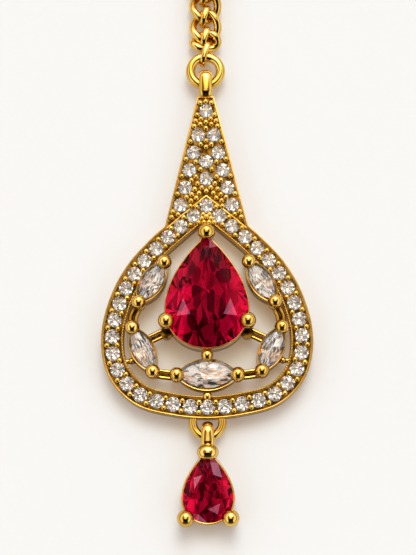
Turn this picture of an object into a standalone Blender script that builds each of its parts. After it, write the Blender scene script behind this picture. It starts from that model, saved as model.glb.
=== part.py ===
"""A maang tikka: a forehead jewel that lies on its back, face up, its chain running to a hair hook.

Metres, +Z up. The origin is on the flat back of the centre stone's cup, under the middle of the stone.
+Y runs along the chain to the hook, +X is to the right of the face.
"""
import math

import bmesh
import bpy
from mathutils import Matrix, Vector

# Points closer than this are one, and faces within this angle, in radians, are one flat face
WELD = 0.0000004
FLAT_ANGLE = 0.002
SHARP_ANGLE = math.radians(30)
MITRE_LIMIT = 0.5          # a mitred corner reaches no further than its wall's thickness over this

# Clearances
STONE_GAP = 0.00008        # between a cut stone and the metal that holds it
LINK_GAP = 0.00010         # between the wires of two links that hold each other

# Halo: the heart-shaped band of round stones. Its line runs through the stones' middles.
HALO_WIDTH = 0.0235
HALO_APEX_Y = 0.0113
HALO_FOOT_Y = -0.01425
HALO_BAND = 0.00276
HALO_HALF_STONES = 18      # steps from the apex stone to the foot stone
HALO_OUTLINE_PARTS = 24    # straight steps in half of the halo's outline
HALO_CURVE_STEPS = 8       # from each knot of the halo's line to the next
OPENING_TOP_Y = 0.0088     # the flat at the top of the opening in the halo
FRAME_THICKNESS = 0.0022
RIM_WIDTH = 0.00021
CHANNEL_DEPTH = 0.00014
RIDGE_OFFSET = 0.00100     # the rim that crosses the spire, from the halo's line
RIDGE_WIDTH = 0.00018
RIDGE_HEIGHT = 0.00010     # over the channel's floor
# The right half of the halo's line from apex to foot, as shares of its half width and of its height.
HALO_LINE = (
    # (across, up)
    (0.0, 1.0),
    (0.281, 0.892),
    (0.540, 0.783),
    (0.757, 0.665),
    (0.915, 0.5225),
    (1.0, 0.350),
    (0.940, 0.182),
    (0.702, 0.0626),
    (0.357, 0.0157),
    (0.0, 0.0),
)

# Spire: the straight taper that rises from the halo to the bail
SPIRE_TOP_Y = 0.0259
SPIRE_TOP_WIDTH = 0.00214
SPIRE_FOOT_WIDTH = 0.00948
SPIRE_FOOT_Y = 0.01071
SPIRE_EDGE_TO_STONE = 0.00132
SPIRE_FIRST_ROW_Y = 0.02064
SPIRE_ROW_PITCH = 0.00232
SPIRE_ROWS = 5
SPIRE_TOP_STONE_Y = 0.02393
SPIRE_CENTRE_ROWS = (1, 2)  # a single stone follows each of these pairs on the middle line

# Round stones and grains
PAVE_DIAMETER = 0.00185
PAVE_CROWN = 0.00034
PAVE_TABLE_SHARE = 0.56
PAVE_EDGE = 0.00002        # the stones' edge under the channel's floor
PAVE_SINK = 0.0003
GRAIN_DIAMETER = 0.00072
GRAIN_OFFSET = 0.00064     # from the halo's line
GRAIN_RISE = 0.00036       # a grain's top over the channel's floor
GRAIN_CROWN_SHARE = 0.5
GRAIN_SIDES = 5
GRAIN_COLUMNS = 12         # places tried for a grain from the middle line to the spire's edge
GRAIN_BITE = 0.86          # a grain laps over the stones beside it, so less than its radius is kept clear

# Every cut stone
STONE_GIRDLE = 0.00012
STONE_KEEL = 0.16          # the foot of a pavilion, as a share of the girdle
LEDGE_AT_POINTS = 1.5      # a ledge is this much longer at a stone's points
PEAR_FULLNESS = 0.85       # the power that fills out a pear's shoulders
PEAR_TURNS = 360           # places round a pear where a prong can stand, one a degree

# Centre stone
RUBY_WIDTH = 0.0102
RUBY_LENGTH = 0.0140
RUBY_GIRDLE_Z = 0.0033
RUBY_CROWN = 0.0013
RUBY_PAVILION = 0.0023
RUBY_TABLE_SHARE = 0.58
RUBY_WALL = 0.00032
RUBY_CUP_FLOOR = 0.0006
RUBY_LEDGE = 0.0009
RUBY_TOP_BALL = 0.00188
RUBY_TOP_BALL_OUT = 0.0004 # its middle past the pear's tip
RUBY_LOW_BALL_OUT = 0.0001
RUBY_BALL_LIFT = 0.0006
RUBY_LOW_BALL = 0.00174
RUBY_LOW_BALL_TURN = 121.5 # degrees round the pear from its tip to the lower prongs
RUBY_STAY_TURN = 130.0     # degrees round the pear to the wires that stay it

# Marquise stones: middle and turn for the pairs, mirrored across the middle line
UPPER_MARQUISE_AT = (0.00686, 0.00131)
UPPER_MARQUISE_TURN = 32.0
LOWER_MARQUISE_AT = (0.00796, -0.00713)
LOWER_MARQUISE_TURN = -25.0
SIDE_MARQUISE_LENGTH = 0.0062
SIDE_MARQUISE_WIDTH = 0.0029
BOTTOM_MARQUISE_Y = -0.01031
BOTTOM_MARQUISE_LENGTH = 0.0077
BOTTOM_MARQUISE_WIDTH = 0.0038
MARQUISE_WALL = 0.0002
MARQUISE_GIRDLE_Z = 0.0027
MARQUISE_CROWN = 0.0006
MARQUISE_PAVILION = 0.0012
MARQUISE_TABLE_SHARE = 0.5
BASKET_FOOT_Z = 0.0005
BASKET_LEDGE = 0.00045
SIDE_BALL = 0.0015
BOTTOM_BALL = 0.0017
BALL_IN = 0.0001           # a prong ball's middle inside its marquise's point
BALL_LIFT = 0.0002         # a prong ball's middle over its stone's girdle
PRONG_POST_SHARE = 0.62    # of a prong's ball

# Gallery wires between the settings
GALLERY_WIRE = 0.00038
GALLERY_PAIR_PITCH = 0.00074
GALLERY_Z = 0.0016
STAY_INTO_BASKET = (-0.00125, 0.0009)  # where the ruby's stays reach a lower marquise, in its own plan
ELBOW_OUT = 0.0003         # the bend in the wires between two side marquises
STEM_BALL = 0.0013
STEM_BALL_Y = -0.00787
STEM_BALL_Z = 0.0025
FOOT_BALL = 0.0011
FOOT_BALL_Z = 0.0021
SIDE_BEAD = 0.0007
SIDE_BEAD_Z = 0.0018
SIDE_BEAD_IN = 0.00065     # from the halo's inner edge
SIDE_BEAD_Y = -0.00845
TOP_BRIDGE = 0.0012

# Top bail and the half ring at the foot of the frame
RING_Z = 0.0013            # height of the wires that the bails hold
BAIL_STRAP = 0.0006
BAIL_WIDTH = 0.0014
BAIL_LENGTH = 0.0043
BAIL_DEPTH = 0.0028
BAIL_LIFT = 0.00004
BAIL_INTO_SPIRE = 0.0005
FOOT_RING_DIAMETER = 0.00465
FOOT_RING_WIRE = 0.00104
FOOT_RING_SINK = 0.00035   # how far its middle lies below the frame's foot

# Jump ring
JUMP_DIAMETER = 0.0050
JUMP_WIRE = 0.0011
JUMP_SEAT = 0.0001         # the wire's middle past the middle of the bail

# Drop
DROP_WIDTH = 0.0059
DROP_LENGTH = 0.0082
DROP_BAIL_LENGTH = 0.0038
DROP_BAIL_WIDTH = 0.0013
DROP_GIRDLE_Z = 0.0024
DROP_CROWN = 0.0009
DROP_PAVILION = 0.0015
DROP_WALL = 0.00034
DROP_CUP_FLOOR = 0.0006
DROP_LEDGE = 0.0006
DROP_TOP_BALL = 0.00175
DROP_COLLAR = 0.0025
DROP_LOW_BALL = 0.00193
DROP_LOW_BALL_TURN = 139.5 # degrees round the pear from its tip to the lower prongs
DROP_LOW_BALL_OUT = 0.0005
DROP_BALL_LIFT = 0.0004
DROP_TIP_TO_BAIL = 0.00016 # the pear's tip below the foot of the bail
DROP_COLLAR_OUT = 0.00025  # the middle of the top prong past the pear's tip, towards the bail

# Chain
CHAIN_LINKS = 15
LINK_WIDTH = 0.0043
LINK_WIRE = 0.0008
LINK_PITCH = 0.00295
LINK_TWIST = 34.0          # degrees at each end
FIRST_LINK_LENGTH = 0.00315
FIRST_LINK_TWIST = 18.0    # degrees at the end that the jump ring's small ring holds
SMALL_RING_WIRE = 0.00036
SMALL_RING_WIDTH = 0.00065
SMALL_RING_DEPTH = 0.00236
SMALL_RING_TILT = -16.0
SMALL_RING_GAP = 0.00021   # between the ring and the wires in it, along the chain
END_RING_GAP = 0.00034     # the same at the chain's two ends, where the wires curve towards the ring
LINK_STEPS = 12
CHAIN_FLOOR_GAP = 0.00002

# Hair hook
HOOK_WIRE = 0.0009
HOOK_EYE_DIAMETER = 0.0034
HOOK_SHAFT = 0.0105
HOOK_BEND_DIAMETER = 0.0034
HOOK_POINT = 0.0065
HOOK_BEND_STEPS = 6

GOLD = ((0.86, 0.55, 0.16, 1.0), 1.0, 0.18)
RUBY = ((0.55, 0.01, 0.07, 1.0), 0.0, 0.05)
CLEAR = ((0.90, 0.89, 0.88, 1.0), 0.0, 0.05)


for old in list(bpy.data.objects):
    bpy.data.objects.remove(old, do_unlink=True)
jewel = bpy.data.collections.new("maang_tikka")
bpy.context.scene.collection.children.link(jewel)
workshop = bpy.data.collections.new("unsoldered_pieces")
bpy.context.scene.collection.children.link(workshop)
whole = bpy.data.objects.new("whole_jewel", None)
jewel.objects.link(whole)


def material(name, finish):
    colour, metallic, roughness = finish
    made = bpy.data.materials.new(name)
    made.use_nodes = True
    shader = made.node_tree.nodes["Principled BSDF"]
    shader.inputs["Base Color"].default_value = colour
    shader.inputs["Metallic"].default_value = metallic
    shader.inputs["Roughness"].default_value = roughness
    made.diffuse_color = colour
    return made


gold = material("polished_gold", GOLD)
ruby_red = material("ruby_red", RUBY)
clear_stone = material("clear_stone", CLEAR)


def finished(name, mesh, finish, at=(0.0, 0.0, 0.0), turn=0.0):
    """A named node of the jewel from a finished mesh, turned in plan, in degrees, and put in its place."""
    if not mesh.materials:
        mesh.materials.append(finish)
        mesh.shade_smooth()
        mesh.set_sharp_from_angle(angle=SHARP_ANGLE)
    piece = bpy.data.objects.new(name, mesh)
    piece.location = at
    piece.rotation_euler.z = math.radians(turn)
    piece.parent = whole
    jewel.objects.link(piece)
    return piece


def loose(name, mesh):
    """A piece on the bench, before it is soldered or used to cut."""
    piece = bpy.data.objects.new(name, mesh)
    workshop.objects.link(piece)
    piece.hide_render = True
    piece.display_type = "WIRE"
    return piece


def mesh_from(builder):
    """A mesh from a function that fills a bmesh."""
    shape = bmesh.new()
    builder(shape)
    bmesh.ops.recalc_face_normals(shape, faces=shape.faces)
    mesh = bpy.data.meshes.new("bench")
    shape.to_mesh(mesh)
    shape.free()
    return mesh


def mesh_of_curve(curve):
    """The closed mesh of a curve, its caps welded to its walls."""
    holder = bpy.data.objects.new("bench_curve", curve)
    workshop.objects.link(holder)
    bpy.context.view_layer.update()
    evaluated = holder.evaluated_get(bpy.context.evaluated_depsgraph_get())
    mesh = bpy.data.meshes.new_from_object(evaluated)
    bpy.data.objects.remove(holder, do_unlink=True)
    shape = bmesh.new()
    shape.from_mesh(mesh)
    bmesh.ops.remove_doubles(shape, verts=shape.verts, dist=1e-7)
    bmesh.ops.recalc_face_normals(shape, faces=shape.faces)
    shape.to_mesh(mesh)
    shape.free()
    return mesh


def plate(outlines, low, high):
    """A flat sheet between two heights. The first outline is its edge, the others are holes."""
    curve = bpy.data.curves.new("plate", "CURVE")
    curve.dimensions = "2D"
    curve.fill_mode = "BOTH"
    curve.extrude = (high - low) / 2
    for outline in outlines:
        spline = curve.splines.new("POLY")
        spline.points.add(len(outline) - 1)
        for point, (x, y) in zip(spline.points, outline):
            point.co = (x, y, 0, 1)
        spline.use_cyclic_u = True
    mesh = mesh_of_curve(curve)
    mesh.transform(Matrix.Translation((0, 0, (low + high) / 2)))
    return mesh


def wire(points, thickness, closed=False, sides_level=1):
    """A round wire along points."""
    curve = bpy.data.curves.new("wire", "CURVE")
    curve.dimensions = "3D"
    curve.bevel_depth = thickness / 2
    curve.bevel_resolution = sides_level
    curve.use_fill_caps = not closed
    spline = curve.splines.new("POLY")
    spline.points.add(len(points) - 1)
    for point, place in zip(spline.points, points):
        point.co = (*place, 1)
    spline.use_cyclic_u = closed
    return mesh_of_curve(curve)


def ring_wire(centre, diameter, thickness, segments=18, sides_level=1):
    """A round ring of round wire that lies flat."""
    radius = (diameter - thickness) / 2
    x, y, z = centre
    turns = [2 * math.pi * i / segments for i in range(segments)]
    points = [(x + radius * math.cos(turn), y + radius * math.sin(turn), z) for turn in turns]
    return wire(points, thickness, closed=True, sides_level=sides_level)


def strap_loop(length, depth, strap, width, arc_steps=5, sides_level=1):
    """A loop that stands across the floor, with straight sides and round ends, bent from a strap."""
    half_depth = (depth - strap) / 2
    straight = (length - strap) / 2 - half_depth
    points = []
    for end in (1, -1):
        for i in range(arc_steps + 1):
            turn = math.pi * i / arc_steps - math.pi / 2
            along = end * (straight + half_depth * math.cos(turn))
            points.append((0, along, -end * half_depth * math.sin(turn)))
    mesh = wire(points, strap, closed=True, sides_level=sides_level)
    mesh.transform(Matrix.Scale(width / strap, 4, (1, 0, 0)))
    return mesh


def ball(centre, diameter, segments=10, rings=5):
    def build(shape):
        bmesh.ops.create_uvsphere(shape, u_segments=segments, v_segments=rings, radius=diameter / 2,
                                  matrix=Matrix.Translation(centre))
    return mesh_from(build)


def post(centre, diameter, low, high, segments=8):
    def build(shape):
        place = Matrix.Translation((centre[0], centre[1], (low + high) / 2))
        bmesh.ops.create_cone(shape, cap_ends=True, segments=segments, radius1=diameter / 2,
                              radius2=diameter / 2, depth=high - low, matrix=place)
    return mesh_from(build)


def soldered(pieces):
    """One mesh from pieces that overlap."""
    first = loose("solder", pieces[0])
    heap = bpy.data.collections.new("heap")
    workshop.children.link(heap)
    for mesh in pieces[1:]:
        heap.objects.link(bpy.data.objects.new("heap_piece", mesh))
    union = first.modifiers.new("solder", "BOOLEAN")
    union.operation = "UNION"
    union.operand_type = "COLLECTION"
    union.collection = heap
    union.solver = "EXACT"
    return emptied(first, list(heap.objects), heap)


def carved(mesh, cutters):
    """The mesh with every cutter taken out of it."""
    body = loose("carve", mesh)
    heap = bpy.data.collections.new("cutters")
    workshop.children.link(heap)
    for cutter in cutters:
        heap.objects.link(bpy.data.objects.new("cutter", cutter))
    cut = body.modifiers.new("carve", "BOOLEAN")
    cut.operation = "DIFFERENCE"
    cut.operand_type = "COLLECTION"
    cut.collection = heap
    cut.solver = "EXACT"
    return emptied(body, list(heap.objects), heap)


def emptied(body, helpers, heap):
    """The evaluated mesh of a body on the bench, with the bench cleared."""
    bpy.context.view_layer.update()
    evaluated = body.evaluated_get(bpy.context.evaluated_depsgraph_get())
    mesh = bpy.data.meshes.new_from_object(evaluated)
    for helper in helpers + [body]:
        bpy.data.objects.remove(helper, do_unlink=True)
    bpy.data.collections.remove(heap)
    shape = bmesh.new()
    shape.from_mesh(mesh)
    bmesh.ops.remove_doubles(shape, verts=shape.verts, dist=WELD)
    bmesh.ops.dissolve_degenerate(shape, edges=shape.edges, dist=WELD)
    bmesh.ops.dissolve_limit(shape, verts=shape.verts, edges=shape.edges, angle_limit=FLAT_ANGLE)
    bmesh.ops.triangulate(shape, faces=shape.faces)
    shape.to_mesh(mesh)
    shape.free()
    return mesh


def mirrored(points):
    return [(-x, y) for x, y in reversed(points)]


def smooth_line(knots, steps):
    """A curve through knots from a corner. Past its last knot it carries on as its own mirror image."""
    before = knots[0] * 2 - knots[1]
    after = Vector((-knots[-2].x, knots[-2].y))
    run = [before] + knots + [after]
    line = []
    for a, b, c, d in zip(run, run[1:], run[2:], run[3:]):
        for i in range(steps):
            t = i / steps
            line.append(0.5 * (2 * b + (c - a) * t + (2 * a - 5 * b + 4 * c - d) * t * t
                               + (3 * b - a - 3 * c + d) * t ** 3))
    line.append(knots[-1])
    return line


def evenly(line, parts):
    """Points that divide a line into equal lengths."""
    lengths = [0.0]
    for a, b in zip(line, line[1:]):
        lengths.append(lengths[-1] + (b - a).length)
    points = []
    for i in range(parts + 1):
        goal = lengths[-1] * i / parts
        k = max(1, next((n for n, run in enumerate(lengths) if run >= goal - 1e-12), len(line) - 1))
        share = (goal - lengths[k - 1]) / (lengths[k] - lengths[k - 1])
        points.append(line[k - 1].lerp(line[k], share))
    return points


def pushed_out(line, distance):
    """The halo's line moved outwards, its corners mitred. It runs clockwise, so outwards is to its left."""
    before = Vector((-line[1].x, line[1].y))
    after = Vector((-line[-2].x, line[-2].y))
    run = [before] + line + [after]
    moved = []
    for a, b, c in zip(run, run[1:], run[2:]):
        first = (b - a).normalized()
        second = (c - b).normalized()
        left_of_first = Vector((-first.y, first.x))
        left_of_second = Vector((-second.y, second.x))
        normal = (left_of_first + left_of_second).normalized()
        moved.append(b + normal * (distance / normal.dot(left_of_second)))
    return moved


def halo_line(parts):
    height = HALO_APEX_Y - HALO_FOOT_Y
    knots = [Vector((across * HALO_WIDTH / 2, HALO_FOOT_Y + up * height)) for across, up in HALO_LINE]
    return evenly(smooth_line(knots, HALO_CURVE_STEPS), parts)


def spire_half_width(y):
    slope = (SPIRE_FOOT_WIDTH - SPIRE_TOP_WIDTH) / 2 / (SPIRE_TOP_Y - SPIRE_FOOT_Y)
    return SPIRE_TOP_WIDTH / 2 + slope * (SPIRE_TOP_Y - y)


def meeting_point(a, b, reach):
    """Where the step from a to b crosses reach, a function that is 0 on the line to be met."""
    share = reach(a) / (reach(a) - reach(b))
    return a.lerp(b, share)


def frame_outline(inset, parts=HALO_OUTLINE_PARTS):
    """The frame's edge, spire and halo together, moved inwards by inset."""
    edge = pushed_out(halo_line(parts), HALO_BAND / 2 - inset)
    slope = (SPIRE_FOOT_WIDTH - SPIRE_TOP_WIDTH) / 2 / (SPIRE_TOP_Y - SPIRE_FOOT_Y)
    side_inset = inset * math.hypot(1, slope)

    def past_spire(point):
        return point.x - (spire_half_width(point.y) - side_inset)

    first = next(i for i, point in enumerate(edge) if past_spire(point) > 0)
    shoulder = meeting_point(edge[first - 1], edge[first], past_spire)
    top = SPIRE_TOP_Y - inset
    right = [(spire_half_width(top) - side_inset, top), tuple(shoulder)]
    right += [tuple(point) for point in edge[first:]]
    return right + mirrored(right[:-1])


def opening_outline(grow, parts=HALO_OUTLINE_PARTS):
    """The halo's inner edge, grown by grow. Its peak is cut off flat."""
    edge = pushed_out(halo_line(parts), grow - HALO_BAND / 2)
    flat = OPENING_TOP_Y + grow

    def below_flat(point):
        return flat - point.y

    first = next(i for i, point in enumerate(edge) if below_flat(point) > 0)
    corner = meeting_point(edge[first - 1], edge[first], below_flat)
    right = [tuple(corner)] + [tuple(point) for point in edge[first:]]
    return right + mirrored(right[:-1])


def halo_ridge():
    """The halo's outer rim where it crosses the spire, as an upturned V."""
    line = halo_line(HALO_OUTLINE_PARTS)
    outer = pushed_out(line, RIDGE_OFFSET + RIDGE_WIDTH / 2)
    inner = pushed_out(line, RIDGE_OFFSET - RIDGE_WIDTH / 2)
    count = next(i for i, point in enumerate(outer) if point.x > spire_half_width(point.y))
    outwards = [tuple(point) for point in outer[:count]]
    back = [tuple(point) for point in inner[count - 1::-1]]
    return mirrored(outwards[1:]) + outwards + back + mirrored(back[:-1])


def pear_outline(width, length, count=20):
    """A pear with its tip at +Y, centred on its length."""
    def across(turn):
        return math.sin(turn) * math.sin(turn / 2) ** PEAR_FULLNESS

    widest = max(across(math.pi * i / PEAR_TURNS) for i in range(PEAR_TURNS))
    points = []
    for i in range(count):
        turn = 2 * math.pi * i / count
        side = across(turn) if turn <= math.pi else -across(2 * math.pi - turn)
        points.append((width / 2 * side / widest, length / 2 * math.cos(turn)))
    return points


def marquise_outline(width, length, count=12):
    """A boat shape of two arcs, its points at +Y and -Y."""
    radius = (length ** 2 + width ** 2) / (4 * width)
    reach = math.asin(length / 2 / radius)
    half = count // 2
    right = []
    for i in range(half + 1):
        turn = reach - 2 * reach * i / half
        right.append((radius * math.cos(turn) - (radius - width / 2), radius * math.sin(turn)))
    return right + mirrored(right)[1:-1]


def cut_stone(outline, table_share, girdle_z, crown, pavilion, clearance=0.0):
    """A faceted stone: a table, crown facets round it, a thin girdle and a pavilion that runs to a keel."""
    half_girdle = STONE_GIRDLE / 2 + clearance
    span = max(math.hypot(x, y) for x, y in outline)
    table = table_share * (span + clearance) / span
    points = []
    for x, y in outline:
        out = 1 + clearance / math.hypot(x, y)
        points.append((x * out, y * out, girdle_z + half_girdle))
        points.append((x * out, y * out, girdle_z - half_girdle))
    for x, y in outline[::2]:
        points.append((x * table, y * table, girdle_z + crown + clearance))
        points.append((x * STONE_KEEL, y * STONE_KEEL, girdle_z - pavilion - clearance))

    def build(shape):
        for point in points:
            shape.verts.new(point)
        hull = bmesh.ops.convex_hull(shape, input=shape.verts)
        spare = [v for v in hull["geom_interior"] if isinstance(v, bmesh.types.BMVert)]
        bmesh.ops.delete(shape, geom=spare, context="VERTS")
        bmesh.ops.dissolve_degenerate(shape, edges=shape.edges, dist=1e-7)
        bmesh.ops.triangulate(shape, faces=shape.faces)
    return mesh_from(build)


def grown_outline(outline, wall):
    """An outline moved out by a wall's thickness along its own normals."""
    grown = []
    count = len(outline)
    for i in range(count):
        before = Vector(outline[i - 1])
        here = Vector(outline[i])
        after = Vector(outline[(i + 1) % count])
        first = (here - before).normalized()
        second = (after - here).normalized()
        left_of_first = Vector((-first.y, first.x))
        left_of_second = Vector((-second.y, second.x))
        normal = (left_of_first + left_of_second).normalized()
        grown.append(tuple(here + normal * (wall / max(MITRE_LIMIT, normal.dot(left_of_second)))))
    return grown


def placed(mesh, at, turn=0.0):
    """The mesh turned in plan, in degrees, and moved to its middle."""
    mesh.transform(Matrix.Translation((at[0], at[1], 0)) @ Matrix.Rotation(math.radians(turn), 4, "Z"))
    return mesh


def plan_point(at, turn, point):
    """A point of a turned setting, in the jewel's plan."""
    moved = Matrix.Rotation(math.radians(turn), 2) @ Vector(point)
    return (at[0] + moved.x, at[1] + moved.y)


def bead_gaps(stones, taken, low_y):
    """Middles of the grains that fit between the spire's stones, row by row and mirrored."""
    radius = GRAIN_DIAMETER / 2
    found = []
    y = SPIRE_TOP_Y - GRAIN_DIAMETER
    while y > low_y:
        reach = spire_half_width(y) - RIM_WIDTH - radius
        for i in range(GRAIN_COLUMNS + 1):
            x = reach * i / GRAIN_COLUMNS
            near_stone = any(math.hypot(x - sx, y - sy) < PAVE_DIAMETER / 2 + radius * GRAIN_BITE
                             for sx, sy in stones)
            mates = [(x, y), (-x, y)] if x > radius else [(0.0, y)]
            crowded = any(math.hypot(mx - gx, my - gy) < 2 * radius
                          for mx, my in mates for gx, gy in found + taken)
            if not near_stone and not crowded and (x == 0 or x > radius):
                found += mates
        y -= radius / 4
    return found


# Where the round stones and grains sit
halo_steps = halo_line(HALO_HALF_STONES)
halo_stones = [tuple(p) for p in halo_steps] + [(-p.x, p.y) for p in halo_steps[1:-1]]
spire_stones = [(0.0, SPIRE_TOP_STONE_Y)]
for row in range(SPIRE_ROWS):
    row_y = SPIRE_FIRST_ROW_Y - row * SPIRE_ROW_PITCH
    row_x = spire_half_width(row_y) - SPIRE_EDGE_TO_STONE
    spire_stones += [(row_x, row_y), (-row_x, row_y)]
    if row in SPIRE_CENTRE_ROWS:
        spire_stones.append((0.0, row_y - SPIRE_ROW_PITCH / 2))

halo_gaps = halo_line(2 * HALO_HALF_STONES)
outer_grains = [tuple(p) for p in pushed_out(halo_gaps, GRAIN_OFFSET)[1::2]]
inner_grains = [tuple(p) for p in pushed_out(halo_gaps, -GRAIN_OFFSET)[1::2]]
halo_grains = [(side * x, y) for x, y in outer_grains + inner_grains for side in (1, -1)]
grains_end_y = OPENING_TOP_Y + RIM_WIDTH + GRAIN_DIAMETER / 2
spire_grains = bead_gaps(spire_stones + halo_stones, halo_grains, grains_end_y)


def round_stone(at, floor_z):
    """A small round stone, an eight-sided crown with a table, sunk in the channel's floor."""
    corners = [(math.cos(math.pi * (i + 0.5) / 4), math.sin(math.pi * (i + 0.5) / 4)) for i in range(8)]
    radius = PAVE_DIAMETER / 2

    def build(shape):
        for x, y in corners:
            shape.verts.new((at[0] + x * radius, at[1] + y * radius, floor_z - PAVE_SINK))
            shape.verts.new((at[0] + x * radius, at[1] + y * radius, floor_z - PAVE_EDGE))
            table = radius * PAVE_TABLE_SHARE
            shape.verts.new((at[0] + x * table, at[1] + y * table, floor_z + PAVE_CROWN))
        bmesh.ops.convex_hull(shape, input=shape.verts)
    return mesh_from(build)


def grain(at, floor_z):
    """A grain of metal raised between the stones, a low dome."""
    def build(shape):
        place = Matrix.Translation((*at, floor_z + (GRAIN_RISE - PAVE_SINK) / 2))
        bmesh.ops.create_cone(shape, cap_ends=True, segments=GRAIN_SIDES, radius1=GRAIN_DIAMETER / 2,
                              radius2=GRAIN_DIAMETER / 2 * GRAIN_CROWN_SHARE,
                              depth=GRAIN_RISE + PAVE_SINK, matrix=place)
    return mesh_from(build)


def hollow_outline(maker, width, length, ledge):
    """The edge of the space under a stone: its own plan, less a ledge that is longer at its points."""
    return maker(width - 2 * ledge, length - 2 * ledge * LEDGE_AT_POINTS)


def basket(maker, width, length, wall, ledge, low, high):
    """An open-backed setting: a wall round the stone with a ledge under its edge."""
    outer_edge = grown_outline(maker(width, length), wall)
    return plate([outer_edge, hollow_outline(maker, width, length, ledge)], low, high)


def closed_cup(maker, width, length, wall, ledge, floor, high):
    """A setting with a closed flat back: a floor, and a wall with a ledge."""
    solid = plate([grown_outline(maker(width, length), wall)], 0.0, high)
    hollow = plate([hollow_outline(maker, width, length, ledge)], floor, high + wall)
    return carved(solid, [hollow])


def prong(at, ball_diameter, low, ball_z):
    """A ball prong: a post with a ball on its end."""
    return [post(at, ball_diameter * PRONG_POST_SHARE, low, ball_z), ball((*at, ball_z), ball_diameter)]


def wire_pair(a, b, elbow=None):
    """Two gallery wires side by side from a to b, bent at an elbow if one is given."""
    run = [Vector(a), Vector(b)] if elbow is None else [Vector(a), Vector(elbow), Vector(b)]
    along = (run[-1] - run[0]).normalized()
    aside = Vector((-along.y, along.x)) * GALLERY_PAIR_PITCH / 2
    return [wire([(*(p + aside * side), GALLERY_Z) for p in run], GALLERY_WIRE) for side in (1, -1)]


def pear_point(width, length, turn, out):
    """A point at a turn round a pear from its tip, moved out from the middle."""
    x, y = pear_outline(width, length, PEAR_TURNS)[round(turn)]
    reach = math.hypot(x, y)
    return (x * (1 + out / reach), y * (1 + out / reach))


# The five marquise settings: name, middle, turn, width, length, ball
marquises = []
for side, hand in ((-1, "left"), (1, "right")):
    marquises.append(("marquise_upper_" + hand, (side * UPPER_MARQUISE_AT[0], UPPER_MARQUISE_AT[1]),
                      side * UPPER_MARQUISE_TURN, SIDE_MARQUISE_WIDTH, SIDE_MARQUISE_LENGTH, SIDE_BALL))
    marquises.append(("marquise_lower_" + hand, (side * LOWER_MARQUISE_AT[0], LOWER_MARQUISE_AT[1]),
                      side * LOWER_MARQUISE_TURN, SIDE_MARQUISE_WIDTH, SIDE_MARQUISE_LENGTH, SIDE_BALL))
marquises.append(("marquise_bottom", (0.0, BOTTOM_MARQUISE_Y), 90.0, BOTTOM_MARQUISE_WIDTH,
                  BOTTOM_MARQUISE_LENGTH, BOTTOM_BALL))


# Frame: a pierced sheet with a channel for the round stones
channel_floor = FRAME_THICKNESS - CHANNEL_DEPTH
sheet = plate([frame_outline(0.0), opening_outline(0.0)], 0.0, FRAME_THICKNESS)
channel = plate([frame_outline(RIM_WIDTH), opening_outline(RIM_WIDTH)], channel_floor,
                FRAME_THICKNESS + CHANNEL_DEPTH)
frame_pieces = [carved(sheet, [channel])]
frame_pieces.append(plate([halo_ridge()], channel_floor - RIDGE_HEIGHT, channel_floor + RIDGE_HEIGHT))
frame_pieces += [round_stone(at, channel_floor) for at in halo_stones + spire_stones]
frame_pieces += [grain(at, channel_floor) for at in halo_grains + spire_grains]

# Frame: the centre stone's cup and its three prongs
frame_pieces.append(closed_cup(pear_outline, RUBY_WIDTH, RUBY_LENGTH, RUBY_WALL, RUBY_LEDGE,
                               RUBY_CUP_FLOOR, RUBY_GIRDLE_Z))
ruby_ball_z = RUBY_GIRDLE_Z + RUBY_BALL_LIFT
top_ball_at = (0.0, RUBY_LENGTH / 2 + RUBY_TOP_BALL_OUT)
frame_pieces += prong(top_ball_at, RUBY_TOP_BALL, GALLERY_WIRE, ruby_ball_z)
low_x, low_y = pear_point(RUBY_WIDTH, RUBY_LENGTH, RUBY_LOW_BALL_TURN, RUBY_LOW_BALL_OUT)
for side in (1, -1):
    frame_pieces += prong((side * low_x, low_y), RUBY_LOW_BALL, GALLERY_WIRE, ruby_ball_z)
bridge_z = GALLERY_WIRE + TOP_BRIDGE / 2
bridge_end_y = OPENING_TOP_Y + TOP_BRIDGE / 2
frame_pieces.append(wire([(*top_ball_at, bridge_z), (0, bridge_end_y, bridge_z)], TOP_BRIDGE))

# Frame: the marquise baskets and their prongs
for _, at, turn, width, length, ball_size in marquises:
    setting = basket(marquise_outline, width, length, MARQUISE_WALL, BASKET_LEDGE,
                     BASKET_FOOT_Z, MARQUISE_GIRDLE_Z)
    frame_pieces.append(placed(setting, at, turn))
    for end in (1, -1):
        tip = plan_point(at, turn, (0, end * (length / 2 - BALL_IN)))
        frame_pieces += prong(tip, ball_size, BASKET_FOOT_Z + GALLERY_WIRE, MARQUISE_GIRDLE_Z + BALL_LIFT)

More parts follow.
